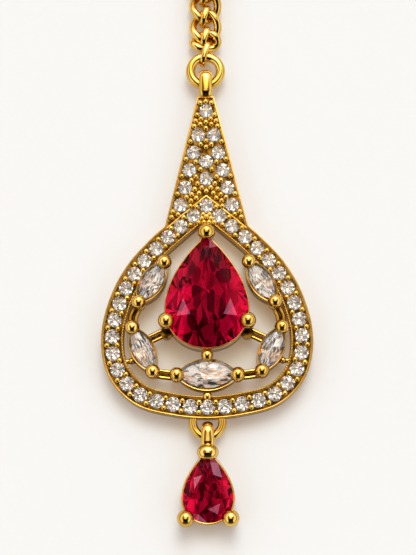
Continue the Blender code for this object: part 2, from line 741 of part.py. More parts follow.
# Frame: the gallery wires
halo_inner_foot = HALO_FOOT_Y + HALO_BAND / 2
inner_edge = pushed_out(halo_line(HALO_OUTLINE_PARTS), -HALO_BAND / 2)
bead_x = min(inner_edge, key=lambda point: abs(point.y - SIDE_BEAD_Y)).x - SIDE_BEAD_IN
for side in (1, -1):
    upper_at = (side * UPPER_MARQUISE_AT[0], UPPER_MARQUISE_AT[1])
    lower_at = (side * LOWER_MARQUISE_AT[0], LOWER_MARQUISE_AT[1])
    upper_foot = plan_point(upper_at, side * UPPER_MARQUISE_TURN, (0, -SIDE_MARQUISE_LENGTH / 2))
    lower_head = plan_point(lower_at, side * LOWER_MARQUISE_TURN, (0, SIDE_MARQUISE_LENGTH / 2))
    lower_foot = plan_point(lower_at, side * LOWER_MARQUISE_TURN, (0, -SIDE_MARQUISE_LENGTH / 2))
    elbow = ((upper_foot[0] + lower_head[0]) / 2 + side * ELBOW_OUT, (upper_foot[1] + lower_head[1]) / 2)
    frame_pieces += wire_pair(upper_foot, lower_head, elbow)
    frame_pieces += wire_pair(lower_foot, (side * BOTTOM_MARQUISE_LENGTH / 2, BOTTOM_MARQUISE_Y))
    stay_x, stay_y = pear_point(RUBY_WIDTH, RUBY_LENGTH, RUBY_STAY_TURN, 0.0)
    stay_reach = (side * STAY_INTO_BASKET[0], STAY_INTO_BASKET[1])
    stay_end = plan_point(lower_at, side * LOWER_MARQUISE_TURN, stay_reach)
    frame_pieces += wire_pair((side * stay_x, stay_y), stay_end)
    bead_at = (side * bead_x, SIDE_BEAD_Y)
    frame_pieces += prong(bead_at, SIDE_BEAD, GALLERY_Z - GALLERY_WIRE, SIDE_BEAD_Z)
    frame_pieces.append(wire([(side * (bead_x - SIDE_BEAD_IN), SIDE_BEAD_Y, GALLERY_Z),
                              (side * (bead_x + 2 * SIDE_BEAD_IN), SIDE_BEAD_Y, GALLERY_Z)], GALLERY_WIRE))
bottom_head_y = BOTTOM_MARQUISE_Y + BOTTOM_MARQUISE_WIDTH / 2
frame_pieces += wire_pair((0, -RUBY_LENGTH / 2), (0, bottom_head_y))
frame_pieces += prong((0, STEM_BALL_Y), STEM_BALL, GALLERY_Z, STEM_BALL_Z)
frame_pieces += prong((0, halo_inner_foot), FOOT_BALL, BASKET_FOOT_Z + GALLERY_WIRE, FOOT_BALL_Z)

# Frame: the bail at the top and the half ring at the foot
bail = strap_loop(BAIL_LENGTH, BAIL_DEPTH, BAIL_STRAP, BAIL_WIDTH)
bail_middle_y = SPIRE_TOP_Y - BAIL_INTO_SPIRE + BAIL_LENGTH / 2
bail_middle_z = BAIL_LIFT + BAIL_DEPTH / 2
bail.transform(Matrix.Translation((0, bail_middle_y, bail_middle_z)))
frame_pieces.append(bail)
foot_ring_y = HALO_FOOT_Y - HALO_BAND / 2 - FOOT_RING_SINK
frame_pieces.append(ring_wire((0, foot_ring_y, RING_Z), FOOT_RING_DIAMETER, FOOT_RING_WIRE, sides_level=2))

# Seats for the stones are carved when the frame is whole
ruby_plan = pear_outline(RUBY_WIDTH, RUBY_LENGTH)
ruby_shape = (ruby_plan, RUBY_TABLE_SHARE, RUBY_GIRDLE_Z, RUBY_CROWN, RUBY_PAVILION)
marquise_shape = (MARQUISE_TABLE_SHARE, MARQUISE_GIRDLE_Z, MARQUISE_CROWN, MARQUISE_PAVILION)
seats = [cut_stone(*ruby_shape, clearance=STONE_GAP)]
for _, at, turn, width, length, _ in marquises:
    plan = marquise_outline(width, length)
    seats.append(placed(cut_stone(plan, *marquise_shape, clearance=STONE_GAP), at, turn))
finished("pave_frame", carved(soldered(frame_pieces), seats), gold)

# The frame's stones
finished("centre_ruby", cut_stone(*ruby_shape), ruby_red)
for name, at, turn, width, length, _ in marquises:
    plan = marquise_outline(width, length)
    finished(name, cut_stone(plan, *marquise_shape), clear_stone, (*at, 0.0), turn)

# Drop: its bail hangs on the half ring, its cup holds the small pear
drop_bail_y = foot_ring_y - (FOOT_RING_DIAMETER - FOOT_RING_WIRE) / 2
drop_bail = strap_loop(DROP_BAIL_LENGTH, BAIL_DEPTH, BAIL_STRAP, DROP_BAIL_WIDTH)
drop_bail.transform(Matrix.Translation((0, drop_bail_y, bail_middle_z)))
drop_tip_y = drop_bail_y - DROP_BAIL_LENGTH / 2 - DROP_TIP_TO_BAIL
drop_at = (0.0, drop_tip_y - DROP_LENGTH / 2)
drop_cup = closed_cup(pear_outline, DROP_WIDTH, DROP_LENGTH, DROP_WALL, DROP_LEDGE,
                      DROP_CUP_FLOOR, DROP_GIRDLE_Z)
drop_pieces = [placed(drop_cup, drop_at), drop_bail]
drop_ball_z = DROP_GIRDLE_Z + DROP_BALL_LIFT
collar_at = (0.0, drop_tip_y + DROP_COLLAR_OUT)
drop_pieces.append(post(collar_at, DROP_COLLAR, GALLERY_WIRE, DROP_GIRDLE_Z, segments=12))
drop_pieces.append(ball((*collar_at, drop_ball_z), DROP_TOP_BALL))
foot_x, foot_y = pear_point(DROP_WIDTH, DROP_LENGTH, DROP_LOW_BALL_TURN, DROP_LOW_BALL_OUT)
for side in (1, -1):
    drop_pieces += prong((side * foot_x, drop_at[1] + foot_y), DROP_LOW_BALL, GALLERY_WIRE, drop_ball_z)
drop_plan = pear_outline(DROP_WIDTH, DROP_LENGTH)
drop_shape = (drop_plan, RUBY_TABLE_SHARE, DROP_GIRDLE_Z, DROP_CROWN, DROP_PAVILION)
drop_seat = placed(cut_stone(*drop_shape, clearance=STONE_GAP), drop_at)
finished("drop_setting", carved(soldered(drop_pieces), [drop_seat]), gold)
finished("drop_ruby", cut_stone(*drop_shape), ruby_red, (*drop_at, 0.0))

# Jump ring through the top bail
jump_radius = (JUMP_DIAMETER - JUMP_WIRE) / 2
jump_y = bail_middle_y + JUMP_SEAT + jump_radius
finished("jump_ring", ring_wire((0, 0, 0), JUMP_DIAMETER, JUMP_WIRE), gold, (0, jump_y, RING_Z))


def twisted_link(length, low_twist, high_twist):
    """A link whose wire is an oval, twisted about the chain's line from one end to the other."""
    half_width = (LINK_WIDTH - LINK_WIRE) / 2
    half_length = (length - LINK_WIRE) / 2
    points = []
    for i in range(LINK_STEPS):
        turn = 2 * math.pi * i / LINK_STEPS
        x = half_width * math.cos(turn)
        y = half_length * math.sin(turn)
        twist = math.radians(low_twist + (high_twist - low_twist) * (y / half_length + 1) / 2)
        points.append((x * math.cos(twist), y, x * math.sin(twist)))
    return wire(points, LINK_WIRE, closed=True)


def small_ring(first_wire, second_wire, apart, gap):
    """The flat ring over a junction. Its hole takes two wires whose middles lie apart."""
    hole = apart + (first_wire + second_wire) / 2 + 2 * gap
    length = hole + 2 * SMALL_RING_WIRE
    return strap_loop(length, SMALL_RING_DEPTH, SMALL_RING_WIRE, SMALL_RING_WIDTH, arc_steps=3)


# Chain: a short first link, then links that lock into each other, a small ring over each junction
chain_z = CHAIN_FLOOR_GAP + SMALL_RING_DEPTH / 2
link_overlap = LINK_WIRE + LINK_GAP
link_length = LINK_PITCH + link_overlap + LINK_WIRE
jump_top_y = jump_y + jump_radius
first_low_y = jump_top_y + (JUMP_WIRE + LINK_WIRE) / 2 + LINK_GAP
first_high_y = first_low_y + FIRST_LINK_LENGTH - LINK_WIRE
first_ring = small_ring(JUMP_WIRE, LINK_WIRE, first_low_y - jump_top_y, END_RING_GAP)
first_ring_y = (jump_top_y - JUMP_WIRE / 2 + first_low_y + LINK_WIRE / 2) / 2
finished("chain_ring_01", first_ring, gold, (0, first_ring_y, chain_z), SMALL_RING_TILT)
first_link = twisted_link(FIRST_LINK_LENGTH, -FIRST_LINK_TWIST, LINK_TWIST)
finished("chain_link_01", first_link, gold, (0, (first_low_y + first_high_y) / 2, chain_z))
full_link = twisted_link(link_length, -LINK_TWIST, LINK_TWIST)
full_ring = small_ring(LINK_WIRE, LINK_WIRE, link_overlap, SMALL_RING_GAP)
high_y = first_high_y
for number in range(2, CHAIN_LINKS + 1):
    low_y = high_y - link_overlap
    ring_y = (low_y + high_y) / 2
    finished(f"chain_ring_{number:02d}", full_ring, gold, (0, ring_y, chain_z), SMALL_RING_TILT)
    high_y = low_y + link_length - LINK_WIRE
    finished(f"chain_link_{number:02d}", full_link, gold, (0, (low_y + high_y) / 2, chain_z))

# The last small ring holds the hook's eye
eye_low_y = high_y + (LINK_WIRE + HOOK_WIRE) / 2 + LINK_GAP
last_ring = small_ring(LINK_WIRE, HOOK_WIRE, eye_low_y - high_y, END_RING_GAP)
last_ring_y = (high_y - LINK_WIRE / 2 + eye_low_y + HOOK_WIRE / 2) / 2
finished(f"chain_ring_{CHAIN_LINKS + 1:02d}", last_ring, gold, (0, last_ring_y, chain_z), SMALL_RING_TILT)

# Hair hook: an eye, a straight shaft that slopes to the floor, a bend and a point
eye_radius = (HOOK_EYE_DIAMETER - HOOK_WIRE) / 2
eye_y = eye_low_y + eye_radius
bend_radius = (HOOK_BEND_DIAMETER - HOOK_WIRE) / 2
shaft_start_y = eye_y + eye_radius
bend_y = shaft_start_y + HOOK_SHAFT
tail = [(0.0, shaft_start_y), (0.0, bend_y)]
for i in range(1, HOOK_BEND_STEPS + 1):
    turn = math.pi * i / HOOK_BEND_STEPS
    tail.append((bend_radius * (1 - math.cos(turn)), bend_y + bend_radius * math.sin(turn)))
tail.append((2 * bend_radius, bend_y - HOOK_POINT))
floor_z = HOOK_WIRE / 2 + CHAIN_FLOOR_GAP
drop_per_length = (chain_z - floor_z) / (bend_y + bend_radius - shaft_start_y)
hook_line = [(x, y, max(floor_z, chain_z - (y - shaft_start_y) * drop_per_length)) for x, y in tail[:-1]]
hook_line.append((*tail[-1], floor_z))
hook_eye = ring_wire((0, eye_y, chain_z), HOOK_EYE_DIAMETER, HOOK_WIRE, segments=14)
finished("hair_hook", soldered([hook_eye, wire(hook_line, HOOK_WIRE)]), gold)
bpy.data.collections.remove(workshop)
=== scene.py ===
"""A maang tikka on a pale studio floor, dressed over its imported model.

Metres, +Z up. The origin is on the flat back of the centre stone's cup. +Y runs along the chain to the hook.
"""
import math
import random

import bmesh
import bpy
from mathutils import Matrix, Vector


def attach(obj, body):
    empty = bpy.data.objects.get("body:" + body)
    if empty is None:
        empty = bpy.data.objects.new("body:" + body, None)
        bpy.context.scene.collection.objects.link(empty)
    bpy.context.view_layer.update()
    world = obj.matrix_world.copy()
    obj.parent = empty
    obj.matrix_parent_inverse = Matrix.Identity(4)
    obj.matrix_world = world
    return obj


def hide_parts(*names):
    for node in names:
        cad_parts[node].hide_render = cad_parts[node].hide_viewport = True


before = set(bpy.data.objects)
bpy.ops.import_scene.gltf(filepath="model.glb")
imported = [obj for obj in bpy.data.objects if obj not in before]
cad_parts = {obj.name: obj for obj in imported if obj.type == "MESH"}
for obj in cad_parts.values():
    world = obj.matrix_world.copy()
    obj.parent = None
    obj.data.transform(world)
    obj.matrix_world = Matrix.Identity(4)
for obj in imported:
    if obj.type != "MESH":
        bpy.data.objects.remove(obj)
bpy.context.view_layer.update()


# Studio: a plain pale sheet in a dim room, under one wide soft window of light
# at the jewel's head, with a pale panel at each side. The camera stands at its
# foot and looks steeply down. The dark front shows in every polished ball.
LOOK_AT = Vector((0.00016, 0.00198, 0.0022))
CAMERA_DISTANCE = 0.15417
CAMERA_TILT = math.radians(12.0)
CAMERA_ROLL = math.radians(0.35)
LENS = 80.0
CLIP_START = 0.01
FLOOR_SIZE = 1.6
FLOOR_DROP = 0.00002
FLOOR_COLOUR = (0.547, 0.658, 0.769, 1.0)
ROOM_COLOUR = (0.97, 0.99, 1.01, 1.0)
ROOM_TOP = 1.45            # brightness of the ceiling panel
ROOM_GAP = 0.28            # and of the gap between it and the walls
ROOM_SIDES = 1.28
ROOM_LOW = 0.50
LOW_COLOUR = (1.0, 0.76, 0.50, 1.0)
OVERHEAD_COLOUR = (1.0, 0.85, 0.68, 1.0)
WINDOW_AT = Vector((0.07, 0.60, 0.80)).normalized()
WINDOW_LIGHT = 2.7
WINDOW_SOFT = (math.cos(math.radians(29.0)), math.cos(math.radians(18.0)))
LAMP_LIGHT = 6.5               # of the lamp behind the window's middle
LAMP_SOFT = (math.cos(math.radians(16.0)), math.cos(math.radians(9.0)))
BOUNCE_COLOUR = (1.0, 0.62, 0.33, 1.0)
BOUNCE = 0.27                  # light that the sheet gets back from the jewel and the room
WALLS_RISE = (0.20, 0.36)      # where each band of the room starts and is full, from 0, level, to 1, overhead
GAP_RISE = (0.70, 0.78)
CEILING_RISE = (0.950, 0.975)
FRONT_RISE = (0.22, 0.30)
FRONT_HALF_WIDTH = 0.52
FRONT_SOFT = (0.85, 1.15)      # its soft sides, as shares of that
FRONT_NEAR = (0.09, 0.14)      # how far towards the viewer it starts and is full
FRONT_DARKNESS = 0.97
FLOOR_SHINE = 0.1
FLOOR_ROUGHNESS = 0.75
FIBRE_ROUGHNESS = 0.15         # what the sheet's fibres add to that
FIBRE_SCALE = 700.0


class Value:
    """An output socket in a node tree. Sums, differences and products of it add Math nodes."""

    def __init__(self, tree, socket=None):
        self.tree = tree
        self.socket = socket

    def node(self, kind, settings=None, inputs=None, output=0):
        """A new node of a kind, with its settings first and then its sockets' values or links."""
        made = self.tree.nodes.new(kind)
        for name, value in (settings or {}).items():
            if name == "stops":
                stops = made.color_ramp.elements
                while len(stops) < len(value):
                    stops.new(1.0)
                for stop, (position, colour) in zip(stops, value):
                    stop.position = position
                    stop.color = colour
            else:
                setattr(made, name, value)
        for name, value in (inputs or {}).items():
            if isinstance(value, Value):
                self.tree.links.new(value.socket, made.inputs[name])
            else:
                made.inputs[name].default_value = value
        return Value(self.tree, made.outputs[output] if made.outputs else None)

    def beside(self, output):
        """Another output of the same node."""
        return Value(self.tree, self.socket.node.outputs[output])

    def attribute(self, name, output="Fac"):
        """A value that the mesh carries."""
        return self.node("ShaderNodeAttribute", {"attribute_name": name}, output=output)

    def math(self, operation, *values):
        return self.node("ShaderNodeMath", {"operation": operation}, dict(enumerate(values)))

    def __add__(self, other):
        return self.math("ADD", self, other)

    def __sub__(self, other):
        return self.math("SUBTRACT", self, other)

    def __rsub__(self, other):
        return self.math("SUBTRACT", other, self)

    def __mul__(self, other):
        return self.math("MULTIPLY", self, other)

    __radd__ = __add__
    __rmul__ = __mul__

    def eased(self, low, high):
        """0 below low, 1 above high, and a soft step between."""
        return self.node("ShaderNodeMapRange", {"interpolation_type": "SMOOTHSTEP"},
                         {"Value": self, "From Min": low, "From Max": high})

    def between(self, first, second):
        """A colour from first, at 0, to second, at 1."""
        return self.node("ShaderNodeMix", {"data_type": "RGBA"}, {0: self, 6: first, 7: second}, output=2)

    def into(self, socket):
        self.tree.links.new(self.socket, socket)


def new_finish(name, inputs):
    """A new material, its shader with plain inputs set, and a start for its nodes."""
    made = bpy.data.materials.new(name)
    made.use_nodes = True
    shader = made.node_tree.nodes["Principled BSDF"]
    for socket, value in inputs.items():
        shader.inputs[socket].default_value = value
    return made, shader, Value(made.node_tree)


camera = bpy.data.objects.new("camera", bpy.data.cameras.new("camera"))
bpy.context.scene.collection.objects.link(camera)
camera.data.lens = LENS
camera.data.clip_start = CLIP_START
camera.location = LOOK_AT + Vector((0, -math.sin(CAMERA_TILT), math.cos(CAMERA_TILT))) * CAMERA_DISTANCE
camera_turn = Matrix.Rotation(CAMERA_TILT, 3, "X") @ Matrix.Rotation(-CAMERA_ROLL, 3, "Z")
camera.rotation_euler = camera_turn.to_euler()
bpy.context.scene.camera = camera
bpy.context.scene.view_settings.view_transform = "Standard"

room = bpy.data.worlds.new("studio_room")
room.use_nodes = True
bpy.context.scene.world = room
sky = Value(room.node_tree)
toward = sky.node("ShaderNodeTexCoord", output="Generated")
across = sky.node("ShaderNodeSeparateXYZ", inputs={0: toward})
aside = sky.math("ABSOLUTE", across)
along = across.beside(1)
up = across.beside(2)
facing = sky.node("ShaderNodeVectorMath", {"operation": "DOT_PRODUCT"}, {0: toward, 1: WINDOW_AT},
                  output="Value")
window = WINDOW_LIGHT * facing.eased(*WINDOW_SOFT) + LAMP_LIGHT * facing.eased(*LAMP_SOFT)
walls = up.eased(*WALLS_RISE)
gap = up.eased(*GAP_RISE)
ceiling = up.eased(*CEILING_RISE)
room_light = (ROOM_LOW + (ROOM_SIDES - ROOM_LOW) * walls + (ROOM_GAP - ROOM_SIDES) * gap
              + (ROOM_TOP - ROOM_GAP) * ceiling)
sides = aside.eased(*[FRONT_HALF_WIDTH * share for share in FRONT_SOFT])
front = (1 - sides) * (0 - along).eased(*FRONT_NEAR)
brightness = (room_light + window) * (1 - FRONT_DARKNESS * front * up.eased(*FRONT_RISE))
background = room.node_tree.nodes["Background"]
gap.between(walls.between(LOW_COLOUR, ROOM_COLOUR), OVERHEAD_COLOUR).into(background.inputs["Color"])
brightness.into(background.inputs["Strength"])

sheet_mesh = bpy.data.meshes.new("pale_sheet")
sheet = bmesh.new()
bmesh.ops.create_grid(sheet, x_segments=1, y_segments=1, size=FLOOR_SIZE / 2,
                      matrix=Matrix.Translation((0, 0, -FLOOR_DROP)))
sheet.to_mesh(sheet_mesh)
sheet.free()
pale_paper, paper_shader, paper = new_finish("pale_paper", {
    "Base Color": FLOOR_COLOUR, "Specular IOR Level": FLOOR_SHINE, "Emission Color": BOUNCE_COLOUR,
    "Emission Strength": BOUNCE})
fibre_place = paper.node("ShaderNodeTexCoord", output="Object")
fibre = paper.node("ShaderNodeTexNoise", inputs={"Vector": fibre_place, "Scale": FIBRE_SCALE})
(FLOOR_ROUGHNESS + FIBRE_ROUGHNESS * fibre).into(paper_shader.inputs["Roughness"])
sheet_mesh.materials.append(pale_paper)
pale_sheet = bpy.data.objects.new("pale_sheet", sheet_mesh)
bpy.context.scene.collection.objects.link(pale_sheet)


# Frame casting: the heart-shaped halo and its spire, one gold-plated brass casting with a flat back.
# A raised rim runs round both edges, and the channel between them is bored with a seat for each round stone.
HALO_WIDTH = 0.0235
HALO_APEX_Y = 0.0113
HALO_FOOT_Y = -0.01425
HALO_BAND = 0.00276
HALO_CURVE_STEPS = 8       # from each knot of the halo's line to the next
HALO_FINE_PARTS = 120
EDGE_PARTS = 56            # from the shoulder, or the opening's top, to the foot
OPENING_TOP_Y = 0.0088
FRAME_THICKNESS = 0.0022
RIM_WIDTH = 0.00021
CHANNEL_DEPTH = 0.00014
CHANNEL_Z = FRAME_THICKNESS - CHANNEL_DEPTH
GROOVE_DEPTH = 0.00018     # of the line cut along each rim
RIDGE_OFFSET = 0.0010
RIDGE_WIRE = 0.00024
SPIRE_TOP_Y = 0.0259
SPIRE_TOP_WIDTH = 0.00214
SPIRE_FOOT_WIDTH = 0.00948
SPIRE_FOOT_Y = 0.01071
SPIRE_SLOPE = (SPIRE_FOOT_WIDTH - SPIRE_TOP_WIDTH) / 2 / (SPIRE_TOP_Y - SPIRE_FOOT_Y)
# The right half of the halo's line, through its stones, as shares of its half width and of its height
HALO_LINE = (
    # (across, up)
    (0.0, 1.0),
    (0.281, 0.892),
    (0.540, 0.783),
    (0.757, 0.665),
    (0.915, 0.5225),
    (1.0, 0.350),
    (0.940, 0.182),
    (0.702, 0.0626),
    (0.357, 0.0157),
    (0.0, 0.0),
)
# The rim's section, from the back up over the rim and down
# into the channel: how far in from the edge, and height
RIM_SECTION = (
    # (in, z)
    (0.00007, 0.0),
    (0.0, 0.00007),
    (0.0, FRAME_THICKNESS - 0.00009),
    (0.000025, FRAME_THICKNESS - 0.00003),
    (0.00007, FRAME_THICKNESS),
    (RIM_WIDTH - 0.00005, FRAME_THICKNESS),
    (RIM_WIDTH - 0.00001, FRAME_THICKNESS - 0.00003),
    (RIM_WIDTH + 0.00001, CHANNEL_Z - GROOVE_DEPTH),
    (RIM_WIDTH + 0.00005, CHANNEL_Z - GROOVE_DEPTH),
    (RIM_WIDTH + 0.00008, CHANNEL_Z),
)
RIM_SHADE = 0.42        # how far the rims' and walls' gold is painted towards the channel's shade
STONE_DIAMETER = 0.00185
SEAT_SHARE = 0.955         # a seat's bore, as a share of its stone
SEAT_DEPTH = 0.00092
SEAT_SIDES = 20
HALO_HALF_STONES = 18
SPIRE_EDGE_TO_STONE = 0.00132
SPIRE_FIRST_ROW_Y = 0.02064
SPIRE_ROW_PITCH = 0.00232
SPIRE_ROWS = 5
SPIRE_TOP_STONE_Y = 0.02393
SPIRE_CENTRE_ROWS = (1, 2)
LIGHT_GOLD = (0.86, 0.57, 0.15, 1.0)
RICH_GOLD = (0.66, 0.38, 0.054, 1.0)
# Painted shade: the dark golds that shaded parts are painted towards, mottled between them
SHADE_GOLD = (0.18, 0.085, 0.009, 1.0)
DARK_GOLD = (0.035, 0.017, 0.002, 1.0)
BACK_SHADE = 0.85       # how far the gold at a piece's back is painted towards the shade gold, as shade
BACK_SHARE = 0.55          # up to what share of its bright height that painted shade is full
DRIFT_SCALE = 420.0        # of the drift in the plate's colour
MARKS_SCALE = 4200.0       # of the polishing marks
MARKS_DEPTH = 0.00002
MARKS_STRENGTH = 0.12
MOTTLE_SCALE = 1500.0       # of the mottle in the painted shade
DRIFT_RANGE = (0.3, 0.7)   # where in its noise each starts and is full
MOTTLE_RANGE = (0.40, 0.62)
DRIFT_RELIEF = 3.0         # how much deeper than the marks the drift's dents are
CUT_ROUGHNESS = 0.10       # what a cut adds
BRIGHT_EDGE = 0.0001
# Height on the casting above which its gold has no painted back shade
CAST_BRIGHT_Z = FRAME_THICKNESS - 0.0003


def evenly(line, parts):
    """Points that divide a line into equal lengths."""
    lengths = [0.0]
    for a, b in zip(line, line[1:]):
        lengths.append(lengths[-1] + (b - a).length)
    points = []
    k = 1
    for i in range(parts + 1):
        goal = lengths[-1] * i / parts
        while k < len(line) - 1 and lengths[k] < goal:
            k += 1
        points.append(line[k - 1].lerp(line[k], (goal - lengths[k - 1]) / (lengths[k] - lengths[k - 1])))
    return points


def halo_line(parts):
    """The right half of the halo's line, from its apex to its foot."""
    height = HALO_APEX_Y - HALO_FOOT_Y
    knots = [Vector((x * HALO_WIDTH / 2, HALO_FOOT_Y + y * height)) for x, y in HALO_LINE]
    run = [knots[0] * 2 - knots[1]] + knots + [Vector((-knots[-2].x, knots[-2].y))]
    line = []
    for a, b, c, d in zip(run, run[1:], run[2:], run[3:]):
        for i in range(HALO_CURVE_STEPS):
            t = i / HALO_CURVE_STEPS
            line.append(0.5 * (2 * b + (c - a) * t + (2 * a - 5 * b + 4 * c - d) * t * t
                               + (3 * b - a - 3 * c + d) * t ** 3))
    return evenly(line + [knots[-1]], parts)


def moved_out(line, distance):
    """The halo's line moved outwards, which is to its left because it runs clockwise."""
    run = [Vector((-line[1].x, line[1].y))] + line + [Vector((-line[-2].x, line[-2].y))]
    moved = []
    for a, b, c in zip(run, run[1:], run[2:]):
        first = (b - a).normalized()
        second = (c - b).normalized()
        left = Vector((-second.y, second.x))
        normal = (Vector((-first.y, first.x)) + left).normalized()
        moved.append(b + normal * (distance / normal.dot(left)))
    return moved


def mirrored(points):
    return [Vector((-p.x, p.y)) for p in reversed(points)]


def spire_half_width(y):
    return SPIRE_TOP_WIDTH / 2 + SPIRE_SLOPE * (SPIRE_TOP_Y - y)


def cut_off(line, past):
    """The line from where past, a function that is 0 on the cut, first turns positive."""
    first = next(i for i, point in enumerate(line) if past(point) > 0)
    share = past(line[first - 1]) / (past(line[first - 1]) - past(line[first]))
    return evenly([line[first - 1].lerp(line[first], share)] + line[first:], EDGE_PARTS)


def frame_edge(inset):
    """The casting's outer edge, spire and halo together, moved inwards."""
    side_inset = inset * math.hypot(1, SPIRE_SLOPE)
    edge = moved_out(halo_line(HALO_FINE_PARTS), HALO_BAND / 2 - inset)
    right = cut_off(edge, lambda point: point.x - spire_half_width(point.y) + side_inset)
    top = SPIRE_TOP_Y - inset
    right = [Vector((spire_half_width(top) - side_inset, top))] + right
    return right + mirrored(right[:-1])


def opening_edge(grow):
    """The opening's edge, moved into the metal."""
    edge = moved_out(halo_line(HALO_FINE_PARTS), grow - HALO_BAND / 2)
    right = cut_off(edge, lambda point: OPENING_TOP_Y + grow - point.y)
    return right + mirrored(right[:-1])


def lofted(shape, loops):
    """Rings of corners joined by walls. Each loop is a list of points of the same count."""
    rings = [[shape.verts.new(point) for point in loop] for loop in loops]
    for low, high in zip(rings, rings[1:]):
        for i in range(len(low)):
            shape.faces.new((low[i - 1], low[i], high[i], high[i - 1]))
    return rings


def ring_edges(shape, ring):
    """The edges round a ring of corners."""
    pairs = [(ring[i - 1], ring[i]) for i in range(len(ring))]
    return [shape.edges.get(pair) or shape.edges.new(pair) for pair in pairs]


def finished_mesh(name, shape, smooth_angle=40.0):
    """A mesh with its faces turned outwards and its edges sharp above an angle in degrees."""
    bmesh.ops.recalc_face_normals(shape, faces=shape.faces)
    mesh = bpy.data.meshes.new(name)
    shape.to_mesh(mesh)
    shape.free()
    mesh.shade_smooth()
    mesh.set_sharp_from_angle(angle=math.radians(smooth_angle))
    return mesh


def laid(mesh, *finishes):
    """A piece of the jewel in the scene, from its mesh and finishes."""
    for finish in finishes:
        mesh.materials.append(finish)
    piece = bpy.data.objects.new(mesh.name, mesh)
    bpy.context.scene.collection.objects.link(piece)
    return piece


def gold_plate(name, polish, wear, bright_z=0.0):
    """Polished gold plate: a warm drift of colour, fine polishing marks, and painted shade where it is marked
    cut.

    Below bright_z it is also painted darker towards the back, as shade.
    """
    made, shader, start = new_finish(name, {"Metallic": 1.0})
    place = start.node("ShaderNodeTexCoord", output="Object")
    drift = start.node("ShaderNodeTexNoise", inputs={"Vector": place, "Scale": DRIFT_SCALE, "Detail": 3.0})
    marks = start.node("ShaderNodeTexNoise", inputs={"Vector": place, "Scale": MARKS_SCALE, "Detail": 2.0})
    height = start.node("ShaderNodeSeparateXYZ", inputs={0: place}, output="Z")
    # Painted shade: darker towards the back below bright_z, and in full where the mesh is marked cut
    painted_back_shade = BACK_SHADE - BACK_SHADE * height.eased(bright_z * BACK_SHARE, bright_z + BRIGHT_EDGE)
    cut = start.math("MAXIMUM", start.attribute("cut"), painted_back_shade)
    plate = drift.eased(*DRIFT_RANGE).between(LIGHT_GOLD, RICH_GOLD)
    mottle = start.node("ShaderNodeTexNoise", inputs={"Vector": place, "Scale": MOTTLE_SCALE, "Detail": 1.0})
    shade_colour = mottle.eased(*MOTTLE_RANGE).between(DARK_GOLD, SHADE_GOLD)
    cut.between(plate, shade_colour).into(shader.inputs["Base Color"])
    (polish + wear * marks + CUT_ROUGHNESS * cut).into(shader.inputs["Roughness"])
    bump = start.node("ShaderNodeBump", inputs={
        "Strength": MARKS_STRENGTH, "Distance": MARKS_DEPTH, "Height": marks + DRIFT_RELIEF * drift})
    bump.into(shader.inputs["Normal"])
    return made


halo_steps = halo_line(HALO_HALF_STONES)
stone_places = halo_steps + [Vector((-p.x, p.y)) for p in halo_steps[1:-1]] + [Vector((0, SPIRE_TOP_STONE_Y))]
for row in range(SPIRE_ROWS):
    row_y = SPIRE_FIRST_ROW_Y - row * SPIRE_ROW_PITCH
    row_x = spire_half_width(row_y) - SPIRE_EDGE_TO_STONE
    stone_places += [Vector((row_x, row_y)), Vector((-row_x, row_y))]
    if row in SPIRE_CENTRE_ROWS:
        stone_places.append(Vector((0, row_y - SPIRE_ROW_PITCH / 2)))

casting = bmesh.new()
shade_and_matte_layer = casting.faces.layers.float.new("cut")
outer = lofted(casting, [[(p.x, p.y, z) for p in frame_edge(inset)] for inset, z in RIM_SECTION])
inner = lofted(casting, [[(p.x, p.y, z) for p in opening_edge(inset)] for inset, z in RIM_SECTION])
back_edges = ring_edges(casting, outer[0]) + ring_edges(casting, inner[0])
bmesh.ops.triangle_fill(casting, edges=back_edges, use_beauty=True)
floor_edges = ring_edges(casting, outer[-1]) + ring_edges(casting, inner[-1])
walls_before = set(casting.faces)
for place in stone_places:
    turns = [2 * math.pi * i / SEAT_SIDES for i in range(SEAT_SIDES)]
    bore = STONE_DIAMETER / 2 * SEAT_SHARE
    rim = [(place.x + bore * math.cos(t), place.y + bore * math.sin(t), CHANNEL_Z) for t in turns]
    foot = [(x, y, CHANNEL_Z - SEAT_DEPTH) for x, y, z in rim]
    seat = lofted(casting, [rim, foot])
    casting.faces.new(seat[1])
    floor_edges += ring_edges(casting, seat[0])
bmesh.ops.triangle_fill(casting, edges=floor_edges, use_beauty=True)
# The cut mark paints shade and roughens: full on the channel's floor, the seats and the back, part on the
# rims and walls
for face in casting.faces:
    face[shade_and_matte_layer] = RIM_SHADE if face in walls_before else 1.0
cast_gold = gold_plate("cast_gold", polish=0.10, wear=0.10, bright_z=CAST_BRIGHT_Z)
frame_casting = laid(finished_mesh("frame_casting", casting), cast_gold)
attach(frame_casting, "root")
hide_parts("pave_frame")


def drawn_wire(points, thickness, closed=False, level=4):
    """The mesh of a round wire along points, its ends closed."""
    curve = bpy.data.curves.new("drawn_wire", "CURVE")
    curve.dimensions = "3D"
    curve.bevel_depth = thickness / 2
    curve.bevel_resolution = level
    curve.use_fill_caps = not closed
    spline = curve.splines.new("POLY")
    spline.points.add(len(points) - 1)
    for point, place in zip(spline.points, points):
        point.co = (*place, 1)
    spline.use_cyclic_u = closed
    holder = bpy.data.objects.new("drawn_wire", curve)
    bpy.context.scene.collection.objects.link(holder)
    bpy.context.view_layer.update()
    mesh = bpy.data.meshes.new_from_object(holder.evaluated_get(bpy.context.evaluated_depsgraph_get()))
    bpy.data.objects.remove(holder, do_unlink=True)
    return mesh


def gathered(name, meshes, smooth_angle=40.0):
    """One mesh from several closed ones, welded."""
    heap = bmesh.new()
    for mesh in meshes:
        heap.from_mesh(mesh)
    bmesh.ops.remove_doubles(heap, verts=heap.verts, dist=1e-8)
    return finished_mesh(name, heap, smooth_angle)


